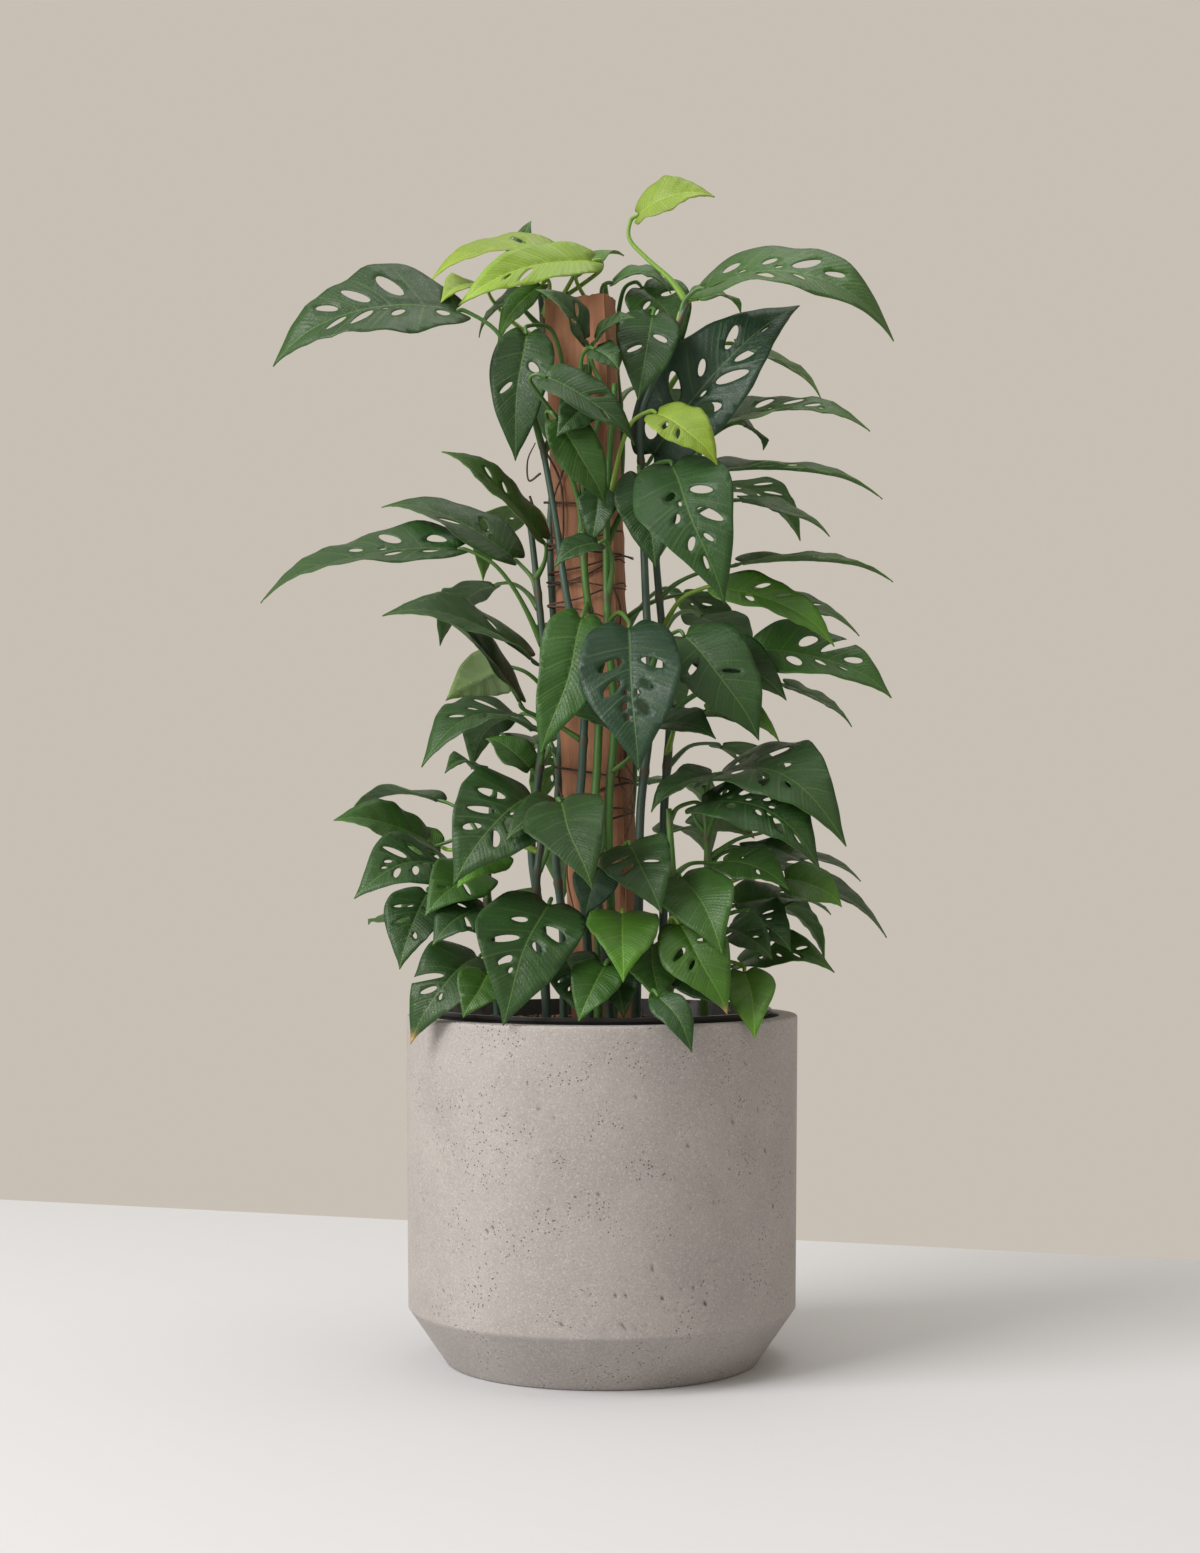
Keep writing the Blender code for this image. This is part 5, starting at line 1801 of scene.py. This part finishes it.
# %% Fine stems
def fine_stem(name, feet):
    """The stem as a tube with a swelling and a ring mark at each foot."""
    path = curve_through(stem_path(name), STEM_CURVE_STEPS)
    top = path[-1].z
    radii, rings = [], []
    for point in path:
        share = max((point.z - STEM_TAPER_FROM) / max(top - STEM_TAPER_FROM, 1), 0)
        radius = STEM_RADIUS + (STEM_TIP_RADIUS - STEM_RADIUS) * share**2
        near = min(abs(point.z - foot) for foot in feet) if feet else 99
        swell = math.exp(-((near / RING_SPAN) ** 2))
        radii.append(radius * (STEM_SLIM + STEM_SWELL * swell))
        rings.append(swell)
    points, triangles = fine_tube(path, radii, STEM_RING_SIDES)
    heights = [point.z for point in path]
    return points, triangles, at_rings(rings, STEM_RING_SIDES), at_rings(heights, STEM_RING_SIDES)


def fine_petiole(leaf, path):
    """A stalk with a sheath at its foot, a joint below the blade and a hollow upper side."""
    _, normal, _ = blade_axes(leaf)
    curve = curve_through(path, STALK_CURVE_STEPS)
    shares = np.linspace(0, 1, len(curve))
    radii = []
    for share in shares:
        radius = PETIOLE_RADIUS + (PETIOLE_TIP_RADIUS - PETIOLE_RADIUS) * share
        sheath = SHEATH * max(1 - share / SHEATH_SHARE, 0)
        joint = JOINT * math.exp(-(((share - JOINT_AT) / JOINT_SPAN) ** 2))
        radii.append(float(radius + sheath + joint))
    points, triangles = fine_tube(curve, radii, STALK_SIDES, STALK_HOLLOW, normal)
    return points, triangles, at_rings(shares, STALK_SIDES)


# %% [markdown]
# ## The leaf finish
#
# A leaf is not one green. The midrib and side veins are lighter and yellower, the margin is a thin light
# line, the underside is paler and duller, and the young leaves are lime. The blade carries these places as
# attributes: the vein number, the distance from the midrib, which side it is, and its own tone. The finish
# turns them into colour, gloss and a fine net between the veins.

# %% Tones
TONES = {
    "deep": (0.016, 0.051, 0.011),
    "mid": (0.024, 0.077, 0.010),
    "fresh": (0.038, 0.106, 0.010),
    "young": (0.155, 0.245, 0.026),
    "pale": (0.10, 0.17, 0.055),
    # Painted reflection: a darker, bluer green for some leaves that face the front, standing in for a bluish
    # reflection on their gloss
    "blue": (0.013, 0.042, 0.020),
}
STALK_TONES = {"deep": (0.050, 0.135, 0.022), "young": (0.145, 0.27, 0.028)}
STEM_TONE = (0.030, 0.062, 0.044)
DRY_TONE = (0.36, 0.24, 0.11)
TIP_YELLOW = (0.3, 0.9)
# The blades with a dry tip, each as its stem's name and its own width, and where the dry part starts
DRY_TIPS = (("vine_left_low", 66), ("vine_front_right", 56))
DRY_FROM = 0.92
DRY_SPAN = 0.05
YELLOW_FROM = 0.6
LIGHT_RANGE = (0.88, 1.14)
WARM_RANGE = (0.94, 1.08)
GREEN_STEM_CHANCE = 0.5


# %% Leaf shader
VEIN_LIGHT = (0.15, 0.24, 0.06)
UNDERSIDE = (0.078, 0.150, 0.052)
UNDERSIDE_VEIN = (0.16, 0.24, 0.09)
LEAF_SPECULAR = 0.38
NET_SCALE = 420
FINE_VEINS = 5


def three_of(tree, name):
    """The three numbers that the mesh carries under one name."""
    return node(tree, "SeparateXYZ", {0: attribute(tree, name, "Vector")}).outputs


def vein_pattern(tree, number, across, along, out):
    """How strongly a vein shows: the side veins fade outwards, and the midrib narrows to the tip."""
    nearest_vein = maths(tree, "FRACT", maths(tree, "ADD", number, 0.5))
    offset = maths(tree, "ABSOLUTE", maths(tree, "SUBTRACT", nearest_vein, 0.5))
    to_tip = ramp(tree, along, 0.7, 0.9, 1.0, 0.0)
    to_margin = ramp(tree, out, 0.5, 0.95, 1.0, 0.1)
    fading = maths(tree, "MULTIPLY", to_tip, to_margin)
    side_vein = maths(tree, "MULTIPLY", ramp(tree, offset, 0.008, 0.05, 0.32, 0.0), fading)
    narrowing = maths(tree, "ADD", across, maths(tree, "MULTIPLY", along, 0.6))
    return maths(tree, "MAXIMUM", side_vein, ramp(tree, narrowing, 0.6, 1.3, 0.75, 0.0))


def leaf_finish():
    finish, tree, where = new_finish("leaf", (0.03, 0.09, 0.022))
    tone = attribute(tree, "tone", "Color")
    number, across, along = three_of(tree, "veins")
    under, _, out = three_of(tree, "marks")
    cloud = ramp(tree, grain(tree, where, 30, 3), 0.3, 0.7, 0.0, 0.5)
    base = mix(tree, cloud, tone, times(tree, tone, (1.35, 1.3, 1.05)))
    fine = maths(tree, "SINE", maths(tree, "MULTIPLY", number, FINE_VEINS * math.tau))
    # Painted sheen and shade: darker stripes along the fine veins stand in for the shading of their relief,
    # which the bump below also gives
    between = ramp(tree, fine, -0.2, 1.0, 0.0, 0.22)
    base = mix(tree, between, base, times(tree, tone, (0.62, 0.66, 0.7)))
    light = mix(tree, 0.35, times(tree, tone, (2.2, 1.9, 1.4)), VEIN_LIGHT)
    vein = vein_pattern(tree, number, across, along, out)
    base = mix(tree, vein, base, light)
    below = mix(tree, 0.4, times(tree, tone, (1.9, 1.7, 2.0)), UNDERSIDE)
    base = mix(tree, under, base, mix(tree, vein, below, UNDERSIDE_VEIN))
    base = mix(tree, maths(tree, "MULTIPLY", attribute(tree, "rim"), 0.6), base, light)
    gloss = ramp(tree, grain(tree, where, 120, 3), 0.3, 0.7, 0.36, 0.50)
    rough = maths(tree, "ADD", gloss, maths(tree, "MULTIPLY", under, 0.2))
    net = cells(tree, where, NET_SCALE, feature="DISTANCE_TO_EDGE").outputs["Distance"]
    height = maths(tree, "SUBTRACT", ramp(tree, net, 0.0, 0.12), maths(tree, "MULTIPLY", vein, 1.6))
    height = maths(tree, "ADD", height, maths(tree, "MULTIPLY", fine, 0.5))
    tree.nodes["Principled BSDF"].inputs["Specular IOR Level"].default_value = LEAF_SPECULAR
    return end_finish(finish, base, rough, bump(tree, height, 0.2, 0.5))


# %% Stem and stalk skin
RING_BROWN = (0.09, 0.06, 0.03)


def stalk_finish():
    """A smooth green skin with faint streaks along it, brown where a ring mark or sheath is."""
    finish, tree, where = new_finish("stem skin", (0.06, 0.12, 0.03))
    tone = attribute(tree, "tone", "Color")
    ring = three_of(tree, "marks")[1]
    streak = grain(tree, stretched(tree, where, (1, 1, 0.12)), 700, 3)
    pale = ramp(tree, streak, 0.35, 0.65, 0.0, 0.4)
    base = mix(tree, pale, tone, times(tree, tone, (1.6, 1.45, 1.3)))
    base = mix(tree, maths(tree, "MULTIPLY", ring, 0.75), base, RING_BROWN)
    return end_finish(finish, base, 0.48, bump(tree, streak, 0.3, 0.4))


leaf_skin = leaf_finish()
stem_skin = stalk_finish()

# %% [markdown]
# ## Growing the vines
#
# Each vine is one piece: its stem, its stalks and its blades in one mesh, with the leaf finish on the
# blades and the stem finish on the rest. It takes the place of the solid vine of the same name.


# %% Gather the parts of one vine
class Parts:
    """Collects points and triangles with what the finishes read at each of them."""

    def __init__(self):
        self.points, self.triangles, self.finish = [], [], []
        self.tones, self.veins, self.marks, self.rim = [], [], [], []
        self.count = 0

    def add(self, points, triangles, tone, veins, marks, finish, rim=None):
        self.points.append(points)
        self.triangles.append(triangles + self.count)
        self.finish.append(np.full(len(triangles), finish))
        self.rim.append(np.zeros(len(triangles), bool) if rim is None else rim)
        tones = np.ones((len(points), 4))
        tones[:, :3] = tone
        self.tones.append(tones)
        self.veins.append(veins)
        self.marks.append(marks)
        self.count += len(points)

    def mesh(self, name):
        mesh = bpy.data.meshes.new(name)
        points = np.concatenate(self.points) * MM
        mesh.from_pydata(points.tolist(), [], np.concatenate(self.triangles).tolist())
        mesh.polygons.foreach_set("material_index", np.concatenate(self.finish).astype(np.int32))
        rim = np.concatenate(self.rim)
        mesh.polygons.foreach_set("use_smooth", ~rim)
        mesh.attributes.new("rim", "FLOAT", "FACE").data.foreach_set("value", rim.astype(np.float32))
        tone = mesh.attributes.new("tone", "FLOAT_COLOR", "POINT")
        tone.data.foreach_set("color", np.concatenate(self.tones).astype(np.float32).ravel())
        for label, rows in (("veins", self.veins), ("marks", self.marks)):
            made = mesh.attributes.new(label, "FLOAT_VECTOR", "POINT")
            made.data.foreach_set("vector", np.concatenate(rows).astype(np.float32).ravel())
        mesh.materials.append(leaf_skin)
        mesh.materials.append(stem_skin)
        mesh.update()
        return mesh


# %% Tones of one vine
def varied(tone, draw):
    """A tone made a little lighter or darker, and warmer or cooler."""
    light = draw.uniform(*LIGHT_RANGE)
    warm = draw.uniform(*WARM_RANGE)
    return tuple(channel * light * (warm if k == 0 else 1) for k, channel in enumerate(tone))


def tip_tones(tone, along, yellow, dry):
    """The tone at each point: a little yellower towards the tip, and tan there if the tip is dry."""
    rows = np.tile(tone, (len(along), 1))
    rows[:, :2] *= 1 + yellow * np.clip((along - YELLOW_FROM) / (1 - YELLOW_FROM), 0, 1)[:, None]
    if dry:
        share = np.clip((along - DRY_FROM) / DRY_SPAN, 0, 1)[:, None]
        rows = rows * (1 - share) + np.array(DRY_TONE) * share
    return rows


def stalk_tone(leaf, draw):
    """Young leaves have bright stalks, older ones green stalks."""
    return varied(STALK_TONES["young" if leaf.tone in ("young", "fresh") else "deep"], draw)


# %% Grow every vine
SHEATH_BROWN = 0.6
SHEATH_BROWN_SHARE = 1 / 12


def grow_vine(name, leaves):
    """The finished stem, stalks and blades of one vine, from its own seed."""
    draw = random.Random(sum(map(ord, name)))
    parts = Parts()
    feet = [leaf.foot for leaf, _ in leaves]
    points, triangles, ring, along = fine_stem(name, feet)
    marks = np.stack([np.zeros(len(ring)), ring, along / 1000], axis=1)
    skin = STALK_TONES["deep"] if draw.random() >= GREEN_STEM_CHANCE else STEM_TONE
    parts.add(points, triangles, varied(skin, draw), np.zeros((len(points), 3)), marks, 1)
    for leaf, path in leaves:
        points, triangles, share = fine_petiole(leaf, path)
        brown = SHEATH_BROWN * np.clip(1 - share / SHEATH_BROWN_SHARE, 0, 1)
        marks = np.stack([np.zeros(len(share)), brown, share], axis=1)
        parts.add(points, triangles, stalk_tone(leaf, draw), np.zeros((len(points), 3)), marks, 1)
        points, triangles, veins, marks, rim = fine_blade(leaf, draw)
        dry = (name, leaf.width) in DRY_TIPS
        yellow = TIP_YELLOW[leaf.tone == "fresh"]
        tone = tip_tones(varied(TONES[leaf.tone], draw), veins[:, 2], yellow, dry)
        parts.add(points, triangles, tone, veins, marks, 0, rim)
    label = name.replace("vine", "leafy")
    return dress(add_object(label, parts.mesh(label)), None, "leaf_green", name)


for name, leaves in GROWN.items():
    grow_vine(name, leaves)

# %% [markdown]
# ## Aerial roots
#
# At its nodes the plant sends out thin brown roots that feel their way round the board and hold on to it.
# Each root is a curve through a few points in the board's own frame: how far across its face, how far in
# front, and how high. A curve with a round bevel is turned into a mesh, which gives a wire of even width.

# %% Where the roots run
ROOT_RADIUS = 0.9
ROOT_CURVE_STEPS = 8
ROOT_TAPER = (1.15, 0.55)
ROOT_WANDER = 2.2
ROOT_OFF = 2.5
# Rings round the board: height, tilt, the corner they start from and how many corners they pass
ROOT_RINGS = ((672, 5, 7, 5), (662, -6, 6, 7), (651, 4, 7, 6), (643, 9, 0, 4), (634, -4, 6, 6),
              (625, 6, 7, 5), (612, -8, 7, 4), (700, -5, 0, 3), (548, 6, 7, 5), (480, -7, 0, 4),
              (466, 5, 1, 4), (452, -4, 0, 4), (438, 7, 1, 3), (770, 4, 1, 3))
# Runs along the board: places across the face as shares of half its width, with heights
ROOT_RUNS = (((-1.05, 748), (-0.6, 722), (-0.5, 696), (-0.55, 652), (-0.35, 612), (-0.2, 575)),
             ((-0.3, 745), (-0.62, 725), (-0.75, 700), (-0.5, 668), (-0.6, 640)),
             ((0.2, 655), (0.05, 618), (0.3, 580), (0.15, 545)),
             ((-1.5, 708), (-1.25, 690), (-0.95, 678), (-0.7, 668)),
             ((-1.1, 728), (-1.55, 722), (-1.65, 738), (-1.3, 752)),
             ((0.9, 530), (1.15, 500), (0.95, 476), (1.25, 452), (1.1, 425)),
             ((1.2, 515), (1.0, 490), (1.35, 470), (1.15, 445)),
             ((-0.9, 470), (-0.7, 440), (-0.85, 400), (-0.6, 360)),
             ((0.85, 640), (1.15, 610), (0.95, 575), (1.2, 540)))
CORNERS = ((-1, -1), (0, -1), (1, -1), (1, 0), (1, 1), (0, 1), (-1, 1), (-1, 0))


def by_board(across, through, height, off, draw):
    """A point off the board's surface, with a little wander."""
    axis, wide, deep = board_frame()
    foot = Vector(BOARD_FOOT)
    centre = foot + axis * (height - foot.z) / axis.z
    side = across * (BOARD_WIDTH / 2 + (off if abs(across) == 1 else 0))
    depth = through * (BOARD_THICKNESS / 2 + off)
    wander = Vector([draw.uniform(-1, 1) * ROOT_WANDER for _ in range(3)])
    return centre + wide * side + deep * depth + wander


def root_paths():
    draw = random.Random(31)
    paths = []
    for height, tilt, start, count in ROOT_RINGS:
        corners = [CORNERS[(start + step) % len(CORNERS)] for step in range(count)]
        paths.append([by_board(x, y, height + tilt * x, ROOT_OFF, draw) for x, y in corners])
    for run in ROOT_RUNS:
        paths.append([by_board(x, -1, height, 2 * ROOT_OFF, draw) for x, height in run])
    return paths


# %% Draw them as curves and make a mesh of them
def build_roots():
    curve = bpy.data.curves.new("root lines", "CURVE")
    curve.dimensions = "3D"
    curve.bevel_depth = ROOT_RADIUS * MM
    curve.bevel_resolution = 2
    curve.use_fill_caps = True
    for path in root_paths():
        points = curve_through(path, ROOT_CURVE_STEPS)
        line = curve.splines.new("POLY")
        line.points.add(len(points) - 1)
        for index, point in enumerate(points):
            share = index / (len(points) - 1)
            line.points[index].co = (*(point * MM), 1)
            line.points[index].radius = ROOT_TAPER[0] + (ROOT_TAPER[1] - ROOT_TAPER[0]) * share
    only(add_object("aerial_roots", curve))
    bpy.ops.object.convert(target="MESH")
    roots = bpy.context.object
    shade(roots, 60)
    return roots


roots = build_roots()


# %% Aerial root finish
ROOT_TONES = ((0.030, 0.018, 0.013), (0.11, 0.06, 0.035))


def root_finish():
    """Dry brown skin, darker and lighter in patches."""
    finish, tree, where = new_finish("aerial root", (0.05, 0.028, 0.018))
    patch = ramp(tree, grain(tree, where, 90, 3), 0.35, 0.7)
    relief = bump(tree, grain(tree, where, 900, 3), 0.2, 0.6)
    return end_finish(finish, mix(tree, patch, *ROOT_TONES), 0.8, relief)


dress(roots, root_finish(), "rough_wood")
